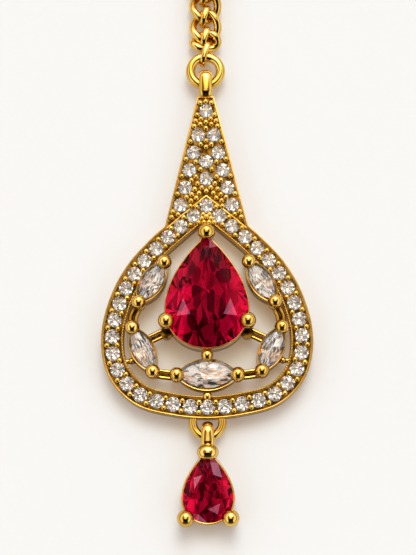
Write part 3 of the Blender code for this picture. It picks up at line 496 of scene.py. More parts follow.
# Ridge: the halo's outer rim where it crosses the spire, a
# fine gold wire soldered in the channel as an upturned V.
ridge_line = moved_out(halo_line(HALO_FINE_PARTS), RIDGE_OFFSET)
past_rim = [point.x > spire_half_width(point.y) - RIM_WIDTH / 2 for point in ridge_line]
ridge_line = ridge_line[:past_rim.index(True)]
ridge_path = [(p.x, p.y, CHANNEL_Z + RIDGE_WIRE / 4) for p in mirrored(ridge_line[1:]) + ridge_line]
ridge_mesh = gathered("crossing_ridge", [drawn_wire(ridge_path, RIDGE_WIRE)])
crossing_ridge = laid(ridge_mesh, gold_plate("ridge_gold", polish=0.12, wear=0.08))
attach(crossing_ridge, "root")


# Round stones: small clear brilliants, foil backed, one pressed into each seat of the channel. Each has a
# table, eight star, eight kite and sixteen half facets, and a pavilion to match.
STONE_CROWN = 0.00030
STONE_PAVILION = 0.00078
STONE_TABLE = 0.55
STONE_GIRDLE = 0.00003
STONE_SEAT_LIFT = 0.00004
STONE_TILT = math.radians(2.5)
UPPER_TIER = 0.66          # where the pavilion's tiers meet, as shares of the stone's width
LOWER_TIER = 0.36
TIER_DRIFT = (0.88, 1.12)  # how far its corners stray from there
PAVILION_SWELL = 0.85      # under 1 for a pavilion that bulges
GLOW_FROM = (0.84, 0.86)   # the tone from which a facet has a coat and a painted glow
CLEAR_GLASS = (0.97, 0.975, 0.98, 1.0)
# Foil colours: the dark, grey and peach splinters are painted reflections
SILVER_FOIL = (0.96, 0.98, 1.0, 1.0)
WARM_FOIL = (1.0, 0.97, 0.92, 1.0)
PEACH_FOIL = (0.86, 0.52, 0.32, 1.0)
GREY_FOIL = (0.36, 0.35, 0.34, 1.0)
DARK_FOIL = (0.06, 0.055, 0.05, 1.0)
SILVER_STOPS = ((0.05, DARK_FOIL), (0.12, GREY_FOIL), (0.26, GREY_FOIL), (0.32, SILVER_FOIL),
                (0.76, SILVER_FOIL), (0.84, PEACH_FOIL), (0.92, SILVER_FOIL))
WHITE = (1.0, 1.0, 1.0, 1.0)


def brilliant(name, plan, heart_y, mains, sub, backs, table, crown, pavilion, girdle, seed=1):
    """A faceted stone. plan gives its edge at a turn from +Y, and its facets gather round heart_y.

    mains counts its crown's mains and backs its pavilion's, and sub the edges along each half facet. Faces of
    the pavilion, cut in two tiers, carry the foil as the second finish.
    """
    shape = bmesh.new()
    tone = shape.faces.layers.float.new("tone")
    under = shape.faces.layers.float.new("under")
    own = shape.verts.layers.float_vector.new("own")
    half = max(plan(2 * math.pi * i / 64)[0] for i in range(64))
    chance = random.Random(seed)
    count = 2 * mains * sub
    slope = math.cos(math.pi / mains)
    back_slope = math.cos(math.pi / backs)
    star = (1 + table) / 2

    def corner(part, share, z):
        x, y = plan(2 * math.pi * part)
        made = shape.verts.new((x * share, heart_y + (y - heart_y) * share, z))
        made[own] = made.co / half
        return made

    def deep(part, share):
        share *= chance.uniform(*TIER_DRIFT)
        return corner(part, share, -girdle / 2 - pavilion * (1 - share * back_slope) ** PAVILION_SWELL)

    star_z = girdle / 2 + crown * (1 - star * slope) / (1 - table)
    tops = [corner(k / mains, table, girdle / 2 + crown) for k in range(mains)]
    stars = [corner((k + 0.5) / mains, star, star_z) for k in range(mains)]
    high = [corner(i / count, 1.0, girdle / 2) for i in range(count)]
    low = [corner(i / count, 1.0, -girdle / 2) for i in range(count)]
    upper = [deep((k + 0.5) / backs, UPPER_TIER) for k in range(backs)]
    lower = [deep(k / backs, LOWER_TIER) for k in range(backs)]
    keel = corner(0, 0.0, -girdle / 2 - pavilion)

    def facet(below, *triangles, most=1.0):
        shade = chance.random() * most
        for corners in triangles:
            face = shape.faces.new(corners)
            face[tone] = shade
            face[under] = below
            face.material_index = int(below)

    facet(0.0, tops, most=0.5)
    for k in range(mains):
        start = 2 * k * sub
        facet(0.0, (tops[k], tops[(k + 1) % mains], stars[k]))
        facet(0.0, (tops[k], high[start], stars[k]), (tops[k], stars[k - 1], high[start]))
        for first in (start, start + sub):
            facet(0.0, *[(stars[k], high[a], high[(a + 1) % count]) for a in range(first, first + sub)])
    for a in range(count):
        b = (a + 1) % count
        facet(1.0, (high[a], low[a], low[b], high[b]))
    for k in range(backs):
        start = k * count // backs
        end = (k + 1) * count // backs
        following = (k + 1) % backs
        facet(1.0, (lower[k], low[start], upper[k]), (lower[k], upper[k - 1], low[start]))
        facet(1.0, (keel, lower[k], upper[k]), (keel, upper[k], lower[following]))
        for a in range(start, end):
            facet(1.0, (upper[k], low[(a + 1) % count], low[a]))
    made = finished_mesh(name, shape)
    made.shade_flat()
    return made


def gem_glass(name, dark, light, ior, shine, glow_tint):
    """Cut glass whose colour changes a little from facet to facet. A few facets have a coat and a faint
    painted glow.
    """
    made, shader, start = new_finish(name, {
        "Emission Strength": 1.0, "Specular Tint": shine, "Roughness": 0.0, "IOR": ior,
        "Transmission Weight": 1.0})
    tone = start.attribute("tone")
    tone.between(dark, light).into(shader.inputs["Base Color"])
    bright = tone.eased(*GLOW_FROM)
    bright.into(shader.inputs["Coat Weight"])
    bright.between((0.0, 0.0, 0.0, 1.0), glow_tint).into(shader.inputs["Emission Color"])
    return made


def gem_foil(name, stops, mirror, blur, splinter, edge=None, glow=0.0):
    """The foil under a stone: a mirror coloured in splinters from a ramp, painted reflections of its facets.

    splinter is their width, length and depth as shares of the stone's half width. edge paints shade over them
    all towards the stone's middle: how bright the middle is, and where the sides begin and are at their
    brightest. glow is a painted glow in the same colours, standing for the light that the stone gathers from
    other facets.
    """
    made, shader, start = new_finish(name, {
        "Emission Strength": glow, "Metallic": mirror, "Roughness": blur})
    tone = start.attribute("tone")
    own = start.attribute("own", "Vector")
    grid = start.node("ShaderNodeVectorMath", {"operation": "DIVIDE"}, {0: own, 1: splinter})
    cells = start.node("ShaderNodeTexVoronoi", inputs={"Vector": grid, "Scale": 1.0}, output="Color")
    tone = start.math("FRACT", tone + start.node("ShaderNodeSeparateXYZ", inputs={0: cells}))
    if edge:
        # Painted shade towards the stone's middle
        aside = start.math("ABSOLUTE", start.node("ShaderNodeSeparateXYZ", inputs={0: own}))
        tone = tone * (edge[0] + (1 - edge[0]) * aside.eased(edge[1], edge[2]))
    ramp = start.node("ShaderNodeValToRGB", {"stops": stops}, {0: tone})
    ramp.into(shader.inputs["Base Color"])
    # The same colours glow, as painted light
    ramp.into(shader.inputs["Emission Color"])
    return made


def open_tree(name, inputs, output):
    """A geometry node tree with its inputs and its output, and the node that its inputs come from."""
    tree = bpy.data.node_groups.new(name, "GeometryNodeTree")
    for label, kind in inputs:
        tree.interface.new_socket(label, in_out="INPUT", socket_type="NodeSocket" + kind)
    tree.interface.new_socket(output, in_out="OUTPUT", socket_type="NodeSocketGeometry")
    return tree, Value(tree).node("NodeGroupInput")


def setter_tree():
    """Geometry nodes that set a copy of a piece at each point of a mesh, each turned a little by chance."""
    tree, places = open_tree("set_at_points", (
        ("Places", "Geometry"), ("Piece", "Object"), ("Turns", "Vector"), ("Finish", "Material"),
        ("Foil", "Material")), "Set")
    piece = places.node("GeometryNodeObjectInfo", inputs={"Object": places.beside("Piece")},
                        output="Geometry")
    chance = places.node("FunctionNodeRandomValue", {"data_type": "FLOAT_VECTOR"},
                         {0: (-1.0, -1.0, -1.0), 1: (1.0, 1.0, 1.0), "Seed": 4})
    turn = places.node("ShaderNodeVectorMath", {"operation": "MULTIPLY"},
                       {0: chance, 1: places.beside("Turns")})
    copies = places.node("GeometryNodeInstanceOnPoints",
                         inputs={"Points": places, "Instance": piece, "Rotation": turn})
    real = places.node("GeometryNodeRealizeInstances", inputs={0: copies})
    gilt = places.node("GeometryNodeSetMaterial",
                       inputs={"Geometry": real, "Material": places.beside("Finish")})
    under = places.node("GeometryNodeInputNamedAttribute", {"data_type": "FLOAT"}, {"Name": "under"})
    is_under = under.math("GREATER_THAN", under, 0.5)
    backed = places.node("GeometryNodeSetMaterial", inputs={
        "Geometry": gilt, "Selection": is_under, "Material": places.beside("Foil")})
    places.node("NodeGroupOutput", inputs={0: backed})
    return tree


set_at_points = setter_tree()


def run_nodes(name, mesh, tree, values):
    """The plain mesh that a node tree makes from a mesh, with the tree's named inputs set."""
    holder = bpy.data.objects.new(name, mesh)
    bpy.context.scene.collection.objects.link(holder)
    modifier = holder.modifiers.new(name, "NODES")
    modifier.node_group = tree
    for item in tree.interface.items_tree:
        if item.in_out == "INPUT" and item.name in values:
            modifier[item.identifier] = values[item.name]
    bpy.context.view_layer.update()
    made = bpy.data.meshes.new_from_object(holder.evaluated_get(bpy.context.evaluated_depsgraph_get()))
    bpy.data.objects.remove(holder, do_unlink=True)
    made.name = name
    kept = [finish for finish in made.materials if finish]
    order = [kept.index(finish) if finish else 0 for finish in made.materials]
    slots = [order[face.material_index] for face in made.polygons] if kept else []
    made.materials.clear()
    for finish in kept:
        made.materials.append(finish)
    if kept:
        made.polygons.foreach_set("material_index", slots)
    return made


def set_pieces(name, places, pattern, turns, finish, foil=None):
    """One mesh of copies of a pattern mesh at places, with foil under them where it is given."""
    points = bpy.data.meshes.new("places")
    points.from_pydata(places, [], [])
    pattern.polygons.foreach_set("material_index", [0] * len(pattern.polygons))
    piece = bpy.data.objects.new("pattern", pattern)
    bpy.context.scene.collection.objects.link(piece)
    made = run_nodes(name, points, set_at_points,
                     {"Piece": piece, "Turns": turns, "Finish": finish, "Foil": foil or finish})
    bpy.data.objects.remove(piece, do_unlink=True)
    return made


def round_plan(turn):
    return STONE_DIAMETER / 2 * math.sin(turn), STONE_DIAMETER / 2 * math.cos(turn)


# A few clear facets have a faint painted grey glow
clear_glass = gem_glass("clear_glass", CLEAR_GLASS, WHITE, ior=1.8, shine=WHITE, glow_tint=(0.10, 0.10, 0.10, 1.0))
# The clear stones' foil, with painted reflections and a faint painted glow
silver_foil = gem_foil("silver_foil", SILVER_STOPS, mirror=0.85, blur=0.03, splinter=(0.5, 0.5, 0.5),
                       glow=0.02)
round_stone = brilliant("round_stone", round_plan, 0.0, mains=8, sub=1, backs=8, table=STONE_TABLE,
                        crown=STONE_CROWN, pavilion=STONE_PAVILION, girdle=STONE_GIRDLE)
stone_points = [(p.x, p.y, CHANNEL_Z + STONE_SEAT_LIFT) for p in stone_places]
stone_turns = (STONE_TILT, STONE_TILT, math.pi)
round_stones = laid(set_pieces("round_stones", stone_points, round_stone, stone_turns,
                               clear_glass, silver_foil))
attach(round_stones, "root")


# Grains: little domes of gold raised from the channel's
# floor and pushed over the stones' edges, which hold them.
GRAIN_DIAMETER = 0.00072
GRAIN_SWELL = 1.12         # of the domes, which run into each other where they are close
GRAIN_OFFSET = 0.00064
GRAIN_Z = CHANNEL_Z + 0.00002
# Grains between the opening's top and the stone above it
APEX_GRAINS = (
    # (across, along)
    (0.0, 0.00985),
    (0.00058, 0.00960),
    (0.00032, 0.00912),
    (0.00100, 0.00908),
)
GRAIN_COLUMNS = 12         # places tried across half of the spire
GRAIN_BITE = 0.86          # how near a stone a grain may stand, as a share of its radius
GRAIN_STEP = 0.25          # from one row of places tried to the next, as a share of its radius
GRAIN_TURNS = (0.1, 0.1, math.pi)
MILGRAIN_DIAMETER = 0.00027
MILGRAIN_PITCH = 0.00034
MILGRAIN_IN = RIM_WIDTH * 0.55
# How far a ball's gold is painted towards the shade gold at its bottom
WAIST_SHADE = 0.55
WAIST_TOP = 0.62           # how high on a ball its gold is bright, above its painted shade, as a share of its radius


def spire_grains(taken, low_y):
    """Middles of the grains that fit between the spire's stones, row by row and mirrored."""
    radius = GRAIN_DIAMETER / 2
    clear = STONE_DIAMETER / 2 + radius * GRAIN_BITE
    found = []
    y = SPIRE_TOP_Y - GRAIN_DIAMETER
    while y > low_y:
        reach = spire_half_width(y) - RIM_WIDTH - radius
        for i in range(GRAIN_COLUMNS + 1):
            x = reach * i / GRAIN_COLUMNS
            mates = [Vector((x, y)), Vector((-x, y))] if x > radius else [Vector((0, y))]
            on_stone = any((mates[0] - s).length < clear for s in stone_places)
            crowded = any((mate - g).length < 2 * radius for mate in mates for g in found + taken)
            if not on_stone and not crowded and (x == 0 or x > radius):
                found += mates
        y -= radius * GRAIN_STEP
    return found


halo_gaps = halo_line(2 * HALO_HALF_STONES)
grain_places = moved_out(halo_gaps, GRAIN_OFFSET)[1::2] + moved_out(halo_gaps, -GRAIN_OFFSET)[1::2]
grain_places += mirrored(grain_places)
grain_places += [Vector((side * x, y)) for x, y in APEX_GRAINS for side in (1, -1) if x or side > 0]
grain_places += spire_grains(grain_places, OPENING_TOP_Y + RIM_WIDTH + GRAIN_DIAMETER / 2)


def ball(diameter, segments=24, rings=14, centre=(0.0, 0.0, 0.0)):
    """A ball, its gold painted darker from its waist down, as shade."""
    shape = bmesh.new()
    waist_shade_layer = shape.verts.layers.float.new("cut")
    bmesh.ops.create_uvsphere(shape, u_segments=segments, v_segments=rings, radius=diameter / 2,
                              matrix=Matrix.Translation(centre))
    # Painted shade: the gold darkens from the ball's waist down
    for corner in shape.verts:
        rise = (corner.co.z - centre[2]) / (diameter / 2)
        corner[waist_shade_layer] = WAIST_SHADE * min(1.0, max(0.0, (WAIST_TOP - rise) / WAIST_TOP))
    return finished_mesh("ball", shape, smooth_angle=180.0)


grain_gold = gold_plate("grain_gold", polish=0.08, wear=0.06)
grain_points = [(p.x, p.y, GRAIN_Z) for p in grain_places]
grain_pattern = ball(GRAIN_DIAMETER * GRAIN_SWELL, segments=14, rings=8)
stone_grains = laid(set_pieces("stone_grains", grain_points, grain_pattern, GRAIN_TURNS, grain_gold))
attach(stone_grains, "root")

rim_line = opening_edge(MILGRAIN_IN)
rim_right = rim_line[:len(rim_line) // 2 + 1]
rim_length = sum((b - a).length for a, b in zip(rim_right, rim_right[1:]))
rim_beads = evenly(rim_right, round(rim_length / MILGRAIN_PITCH))
bead_points = [(p.x, p.y, FRAME_THICKNESS) for p in rim_beads + mirrored(rim_beads[1:-1])]
bead_pattern = ball(MILGRAIN_DIAMETER, segments=8, rings=5)
inner_milgrain = laid(set_pieces("inner_milgrain", bead_points, bead_pattern, GRAIN_TURNS, grain_gold))
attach(inner_milgrain, "root")


# Centre cup: a closed gold cup in the shape of the stone, its thin lip burnished over the stone's edge.
RUBY_WIDTH = 0.01034
RUBY_LENGTH = 0.01416
RUBY_GIRDLE_Z = 0.0033
RUBY_GIRDLE = 0.00012
CUP_WALL = 0.00012
MARQUISE_TOP = 0.0026
CUP_FLOOR = 0.0006
CUP_INSIDE = 0.1           # how far out the wall's inside is at the floor, as a share of the wall
PEAR_FULLNESS = 0.85
PEAR_PARTS = 96
# The cup's section, from the back up the wall, over the lip and down to the floor: how far out as a share
# of the wall, and height from the back, then from the stone's girdle
CUP_FOOT = ((0.6, 0.0), (1.0, 0.00008))
CUP_LIP = ((1.0, -0.00025), (0.9, -0.00006), (0.6, 0.00006), (0.2, 0.00010), (-0.1, 0.00010), (-0.3, 0.00007),
           (0.1, 0.00004))


def pear_plan(width, length):
    """A pear's edge at a turn from its tip at +Y."""
    widest = max(math.sin(t / 100) * math.sin(t / 200) ** PEAR_FULLNESS for t in range(315))

    def plan(turn):
        turn = turn % (2 * math.pi)
        side = math.sin(turn) * abs(math.sin(turn / 2)) ** PEAR_FULLNESS
        return width / 2 * side / widest, length / 2 * math.cos(turn)
    return plan


def grown_plan(plan, parts, out):
    """A stone's edge moved out, or in, along its own normals."""
    edge = [Vector(plan(2 * math.pi * i / parts)) for i in range(parts)]
    moved = []
    for i in range(parts):
        first = (edge[i] - edge[i - 1]).normalized()
        second = (edge[(i + 1) % parts] - edge[i]).normalized()
        left = Vector((-second.y, second.x))
        normal = (Vector((-first.y, first.x)) + left).normalized()
        moved.append(edge[i] + normal * (out / max(0.5, normal.dot(left))))
    return moved


def closed_cup(name, plan, girdle_z, wall):
    """A cup with a flat back and a floor, its lip over the stone's edge."""
    shape = bmesh.new()
    loops = []
    for out, z in CUP_FOOT + tuple((out, girdle_z + z) for out, z in CUP_LIP) + ((CUP_INSIDE, CUP_FLOOR),):
        loops.append([(p.x, p.y, z) for p in grown_plan(plan, PEAR_PARTS, out * wall)])
    rings = lofted(shape, loops)
    shape.faces.new(rings[0])
    shape.faces.new(rings[-1])
    return finished_mesh(name, shape)


ruby_plan = pear_plan(RUBY_WIDTH, RUBY_LENGTH)
setting_gold = gold_plate("setting_gold", polish=0.07, wear=0.08, bright_z=MARQUISE_TOP)
centre_cup = laid(closed_cup("centre_cup", ruby_plan, RUBY_GIRDLE_Z, CUP_WALL), setting_gold)
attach(centre_cup, "root")
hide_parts("pave_frame")


# Centre stone: a foil-backed ruby-red pear, cut as a brilliant with ten mains.
RUBY_CROWN = 0.00125
RUBY_PAVILION = 0.00245
RUBY_TABLE = 0.56
RUBY_HEART_Y = 0.0003
RUBY_DARK = (0.60, 0.002, 0.026, 1.0)
RUBY_LIGHT = (1.0, 0.006, 0.095, 1.0)
RUBY_SHINE = (0.25, 0.01, 0.03, 1.0)
# The colour of the painted glow on a few ruby facets
RUBY_GLOW_TINT = (0.20, 0.06, 0.10, 1.0)
# The ruby foil's colours, from painted dark reflections to bright pink
RUBY_FOIL = ((0.0, (0.02, 0.001, 0.006, 1.0)), (0.14, (0.05, 0.003, 0.014, 1.0)),
             (0.32, (0.26, 0.016, 0.07, 1.0)), (0.50, (0.42, 0.03, 0.12, 1.0)),
             (0.75, (0.85, 0.06, 0.26, 1.0)), (1.0, (1.0, 0.08, 0.32, 1.0)))

ruby_glass = gem_glass("ruby_glass", RUBY_DARK, RUBY_LIGHT, ior=1.77, shine=RUBY_SHINE, glow_tint=RUBY_GLOW_TINT)
# The ruby's foil, with painted reflections, painted shade over its middle and a painted glow
ruby_foil = gem_foil("ruby_foil", RUBY_FOIL, mirror=0.6, blur=0.04, splinter=(0.17, 0.42, 0.3),
                     edge=(0.50, 0.25, 0.70), glow=0.50)
ruby_mesh = brilliant("centre_pear", ruby_plan, RUBY_HEART_Y, mains=10, sub=4, backs=10, table=RUBY_TABLE,
                      crown=RUBY_CROWN, pavilion=RUBY_PAVILION, girdle=RUBY_GIRDLE, seed=32)
ruby_mesh.transform(Matrix.Translation((0, 0, RUBY_GIRDLE_Z)))
centre_pear = laid(ruby_mesh, ruby_glass, ruby_foil)
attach(centre_pear, "root")
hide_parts("centre_ruby")


# Centre prongs: three gold posts soldered to the cup, each with a polished ball pushed over the stone's edge.
PRONG_FOOT_Z = 0.00038
TOP_BALL = 0.00218
TOP_BALL_OUT = 0.00034
LOW_BALL = 0.00206
LOW_BALL_TURN = math.radians(121.5)
LOW_BALL_OUT = 0.0001
BALL_LIFT = 0.0006
POST_SHARE = 0.86
POST_SOFT = 0.06           # how much of a post's width its softened ends take off
# Height above which the balls' gold has no painted back shade
BALL_BRIGHT_Z = MARQUISE_TOP - 0.0006
LOW_FOOT = 0.0015          # the thick foot behind each low prong
LOW_FOOT_BEHIND = 0.00118
LOW_FOOT_TOP = 0.0019
BRIDGE_WIRE = 0.0012


def fully_shaded(mesh):
    """The mesh marked cut all over, so its gold is painted in full shade."""
    mesh.attributes.new("cut", "FLOAT", "POINT").data.foreach_set("value", [1.0] * len(mesh.vertices))
    return mesh


def post(place, diameter, low, high, sides=24):
    """A round post with softened ends."""
    shape = bmesh.new()
    soft = diameter * POST_SOFT
    loops = []
    for radius, z in ((diameter / 2 - soft, low), (diameter / 2, low + soft), (diameter / 2, high)):
        loops.append([(place[0] + radius * math.cos(2 * math.pi * i / sides),
                       place[1] + radius * math.sin(2 * math.pi * i / sides), z) for i in range(sides)])
    rings = lofted(shape, loops)
    shape.faces.new(rings[0])
    shape.faces.new(rings[-1])
    return finished_mesh("post", shape)


def ball_prong(place, diameter, low, ball_z):
    """A post and the ball on its end."""
    head = ball(diameter, segments=28, rings=16, centre=(*place, ball_z))
    return [post(place, diameter * POST_SHARE, low, ball_z), head]


def plan_place(plan, turn, out):
    """A place at a turn round a stone, moved out from its middle."""
    edge = Vector(plan(turn))
    return edge * (1 + out / edge.length)


centre_ball_z = RUBY_GIRDLE_Z + BALL_LIFT
top_place = Vector((0, RUBY_LENGTH / 2 + TOP_BALL_OUT))
prong_meshes = ball_prong(top_place, TOP_BALL, PRONG_FOOT_Z, centre_ball_z)
low_place = plan_place(ruby_plan, LOW_BALL_TURN, LOW_BALL_OUT)
for side in (1, -1):
    prong_meshes += ball_prong((side * low_place.x, low_place.y), LOW_BALL, PRONG_FOOT_Z, centre_ball_z)
    foot_place = (side * low_place.x, low_place.y - LOW_FOOT_BEHIND)
    # Each foot behind a low prong is painted in full shade.
    prong_meshes.append(fully_shaded(post(foot_place, LOW_FOOT, PRONG_FOOT_Z, LOW_FOOT_TOP)))
bridge_z = PRONG_FOOT_Z + BRIDGE_WIRE / 2
bridge_end = (0, OPENING_TOP_Y + BRIDGE_WIRE / 2, bridge_z)
prong_meshes.append(drawn_wire([(*top_place, bridge_z), bridge_end], BRIDGE_WIRE))
ball_gold = gold_plate("ball_gold", polish=0.04, wear=0.05, bright_z=BALL_BRIGHT_Z)
centre_prongs = laid(gathered("centre_prongs", prong_meshes), ball_gold)
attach(centre_prongs, "root")
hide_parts("pave_frame")


# Marquises: five clear boat-shaped brilliants in open-backed
# baskets of thin gold wall, a ball prong at each point.
MARQUISE_GIRDLE_Z = 0.0027
MARQUISE_GIRDLE = 0.00012
MARQUISE_CROWN = 0.00058
MARQUISE_PAVILION = 0.0010
MARQUISE_TABLE = 0.50
MARQUISE_WALL = 0.00013
MARQUISE_PARTS = 48
BASKET_FOOT_Z = 0.0005
BASKET_LEDGE = 0.00045
BASKET_LEDGE_DROP = 0.0003     # of the ledge, below the girdle
# Height above which the baskets' gold has no painted back shade
BASKET_BRIGHT_Z = MARQUISE_GIRDLE_Z + 0.0004
POINT_BALL_IN = 0.0001
POINT_BALL_LIFT = 0.0002
# The basket's lip, from its outer edge over the stone's: how far out, and height from the girdle
BASKET_LIP = ((MARQUISE_WALL, -0.0001), (MARQUISE_WALL - 0.00005, 0.00005), (0.00003, 0.00008),
              (-0.00002, 0.00007), (0.00001, 0.00003))
# The marquises' foil colours, painted reflections
BOAT_STOPS = ((0.0, DARK_FOIL), (0.24, DARK_FOIL), (0.27, GREY_FOIL), (0.37, GREY_FOIL), (0.40, WARM_FOIL),
              (0.64, WARM_FOIL), (0.67, PEACH_FOIL), (0.86, PEACH_FOIL), (0.89, WARM_FOIL))
SIDE_SIZE = (0.0029, 0.0062)
BOTTOM_SIZE = (0.0038, 0.0077)
SIDE_BALL = 0.00186
BOTTOM_BALL = 0.00188
# Each marquise: name, middle, turn in degrees, width and length, ball
MARQUISES = (
    ("marquise_upper_left", (-0.00686, 0.00131), -32.0, SIDE_SIZE, SIDE_BALL),
    ("marquise_upper_right", (0.00686, 0.00131), 32.0, SIDE_SIZE, SIDE_BALL),
    ("marquise_lower_left", (-0.00796, -0.00713), 25.0, SIDE_SIZE, SIDE_BALL),
    ("marquise_lower_right", (0.00796, -0.00713), -25.0, SIDE_SIZE, SIDE_BALL),
    ("marquise_bottom", (0.0, -0.01031), 90.0, BOTTOM_SIZE, BOTTOM_BALL),
)


def marquise_plan(width, length):
    """A boat's edge at a turn from its point at +Y."""
    radius = (length ** 2 + width ** 2) / (4 * width)
    reach = math.asin(length / 2 / radius)

    def plan(turn):
        turn = turn % (2 * math.pi)
        side = 1 if turn <= math.pi else -1
        share = turn / math.pi if side > 0 else 2 - turn / math.pi
        swing = reach * (1 - 2 * share)
        return side * (radius * math.cos(swing) - radius + width / 2), radius * math.sin(swing)
    return plan


def open_basket(plan, ledge_plan):
    """A wall round a stone, open below, with a ledge inside."""
    shape = bmesh.new()
    top = MARQUISE_GIRDLE_Z
    loops = []
    for out, z in ((MARQUISE_WALL, BASKET_FOOT_Z),) + tuple((out, top + rise) for out, rise in BASKET_LIP):
        loops.append([(p.x, p.y, z) for p in grown_plan(plan, MARQUISE_PARTS, out)])
    for z in (top - BASKET_LEDGE_DROP, BASKET_FOOT_Z):
        loops.append([(*ledge_plan(2 * math.pi * i / MARQUISE_PARTS), z) for i in range(MARQUISE_PARTS)])
    rings = lofted(shape, loops + [loops[0]])
    bmesh.ops.remove_doubles(shape, verts=rings[0] + rings[-1], dist=1e-8)
    return finished_mesh("open_basket", shape)


# The marquises' foil, with painted reflections and a painted glow
boat_foil = gem_foil("boat_foil", BOAT_STOPS, mirror=0.45, blur=0.02, splinter=(0.15, 0.8, 0.5), glow=0.24)
basket_meshes = []
point_prongs = []
for name, middle, turn, (width, length), ball_size in MARQUISES:
    plan = marquise_plan(width, length)
    move = Matrix.Translation((*middle, 0)) @ Matrix.Rotation(math.radians(turn), 4, "Z")
    stone = brilliant(name + "_stone", plan, 0.0, mains=8, sub=3, backs=12, table=MARQUISE_TABLE,
                      crown=MARQUISE_CROWN, pavilion=MARQUISE_PAVILION, girdle=MARQUISE_GIRDLE,
                      seed=len(basket_meshes))
    stone.transform(move @ Matrix.Translation((0, 0, MARQUISE_GIRDLE_Z)))
    cut_marquise = laid(stone, clear_glass, boat_foil)
    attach(cut_marquise, "root")
    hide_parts(name)
    basket = open_basket(plan, marquise_plan(width - 2 * BASKET_LEDGE, length - 3 * BASKET_LEDGE))
    basket.transform(move)
    basket_meshes.append(basket)
    for end in (1, -1):
        tip = move @ Vector((0, end * (length / 2 - POINT_BALL_IN), 0))
        point_prongs += ball_prong((tip.x, tip.y), ball_size, BASKET_FOOT_Z + PRONG_FOOT_Z,
                                   MARQUISE_GIRDLE_Z + POINT_BALL_LIFT)
basket_gold = gold_plate("basket_gold", polish=0.12, wear=0.08, bright_z=BASKET_BRIGHT_Z)
marquise_baskets = laid(gathered("marquise_baskets", basket_meshes), basket_gold)
marquise_prongs = laid(gathered("marquise_prongs", point_prongs), ball_gold)
for piece in (marquise_baskets, marquise_prongs):
    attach(piece, "root")
    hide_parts("pave_frame")


# Gallery: pairs of drawn gold wire soldered between the settings, with a ball on the stem under the centre
# stone, one at the halo's foot and a bead at each side.
GALLERY_WIRE = 0.00048
PAIR_PITCH = 0.00080
PAIR_WEB_DROP = 0.00035    # of the solder between a pair, below the wires' middles
PAIR_WEB_LAP = 0.8         # how much of a wire it leaves free
GALLERY_Z = 0.0016
# Height above which the gallery's gold has no painted back shade
WIRE_BRIGHT_Z = GALLERY_Z + 0.0005
ELBOW_OUT = 0.0003
STAY_TURN = math.radians(130.0)
STAY_INTO_BASKET = (-0.00125, 0.0009)
STEM_BALL = (0.00158, -0.00787, 0.0025)
FOOT_BALL = (0.00118, HALO_FOOT_Y + HALO_BAND / 2, 0.0021)
SIDE_BEAD = 0.00085
SIDE_BAR = 0.00060
SIDE_BEAD_Z = 0.0018
SIDE_BEAD_Y = -0.00845
SIDE_BEAD_IN = 0.00065


def wire_pair(a, b, elbow=None):
    """Two gallery wires side by side, bent at an elbow if one is given."""
    run = [Vector(a), Vector(b)] if elbow is None else [Vector(a), Vector(elbow), Vector(b)]
    along_run = (run[-1] - run[0]).normalized()
    aside = Vector((-along_run.y, along_run.x)) * PAIR_PITCH / 2
    rails = [drawn_wire([(*(p + aside * hand), GALLERY_Z) for p in run], GALLERY_WIRE) for hand in (1, -1)]
    web = drawn_wire([(*p, GALLERY_Z - PAIR_WEB_DROP) for p in run], PAIR_PITCH - GALLERY_WIRE * PAIR_WEB_LAP)
    # The solder web between the wires is painted in full shade.
    return rails + [fully_shaded(web)]


gallery = []
right_edge = [point for point in opening_edge(0.0) if point.x >= 0]
bead_x = min(right_edge, key=lambda point: abs(point.y - SIDE_BEAD_Y)).x - SIDE_BEAD_IN
for side in (1, -1):
    ends = {}
    for level, (_, middle, turn, (_, length), _) in (("upper", MARQUISES[1]), ("lower", MARQUISES[3])):
        swing = Matrix.Rotation(side * math.radians(turn), 4, "Z")
        move = Matrix.Translation((side * middle[0], middle[1], 0)) @ swing
        ends[level] = [(move @ Vector((0, end * length / 2, 0))).to_2d() for end in (1, -1)]
    stay_end = (move @ Vector((side * STAY_INTO_BASKET[0], STAY_INTO_BASKET[1], 0))).to_2d()
    elbow = (ends["upper"][1] + ends["lower"][0]) / 2 + Vector((side * ELBOW_OUT, 0))
    gallery += wire_pair(ends["upper"][1], ends["lower"][0], elbow)
    gallery += wire_pair(ends["lower"][1], (side * BOTTOM_SIZE[1] / 2, MARQUISES[4][1][1]))
    stay = plan_place(ruby_plan, STAY_TURN, 0.0)
    gallery += wire_pair((side * stay.x, stay.y), stay_end)
    gallery += ball_prong((side * bead_x, SIDE_BEAD_Y), SIDE_BEAD, GALLERY_Z - GALLERY_WIRE, SIDE_BEAD_Z)
    gallery.append(drawn_wire([(side * (bead_x - SIDE_BEAD_IN), SIDE_BEAD_Y, GALLERY_Z),
                               (side * (bead_x + 2 * SIDE_BEAD_IN), SIDE_BEAD_Y, GALLERY_Z)], SIDE_BAR))
gallery += wire_pair((0, -RUBY_LENGTH / 2), (0, MARQUISES[4][1][1] + BOTTOM_SIZE[0] / 2))
for size, y, z in (STEM_BALL, FOOT_BALL):
    gallery += ball_prong((0, y), size, BASKET_FOOT_Z + PRONG_FOOT_Z, z)
wire_gold = gold_plate("wire_gold", polish=0.08, wear=0.08, bright_z=WIRE_BRIGHT_Z)
gallery_wires = laid(gathered("gallery_wires", gallery), wire_gold)
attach(gallery_wires, "root")
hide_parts("pave_frame")


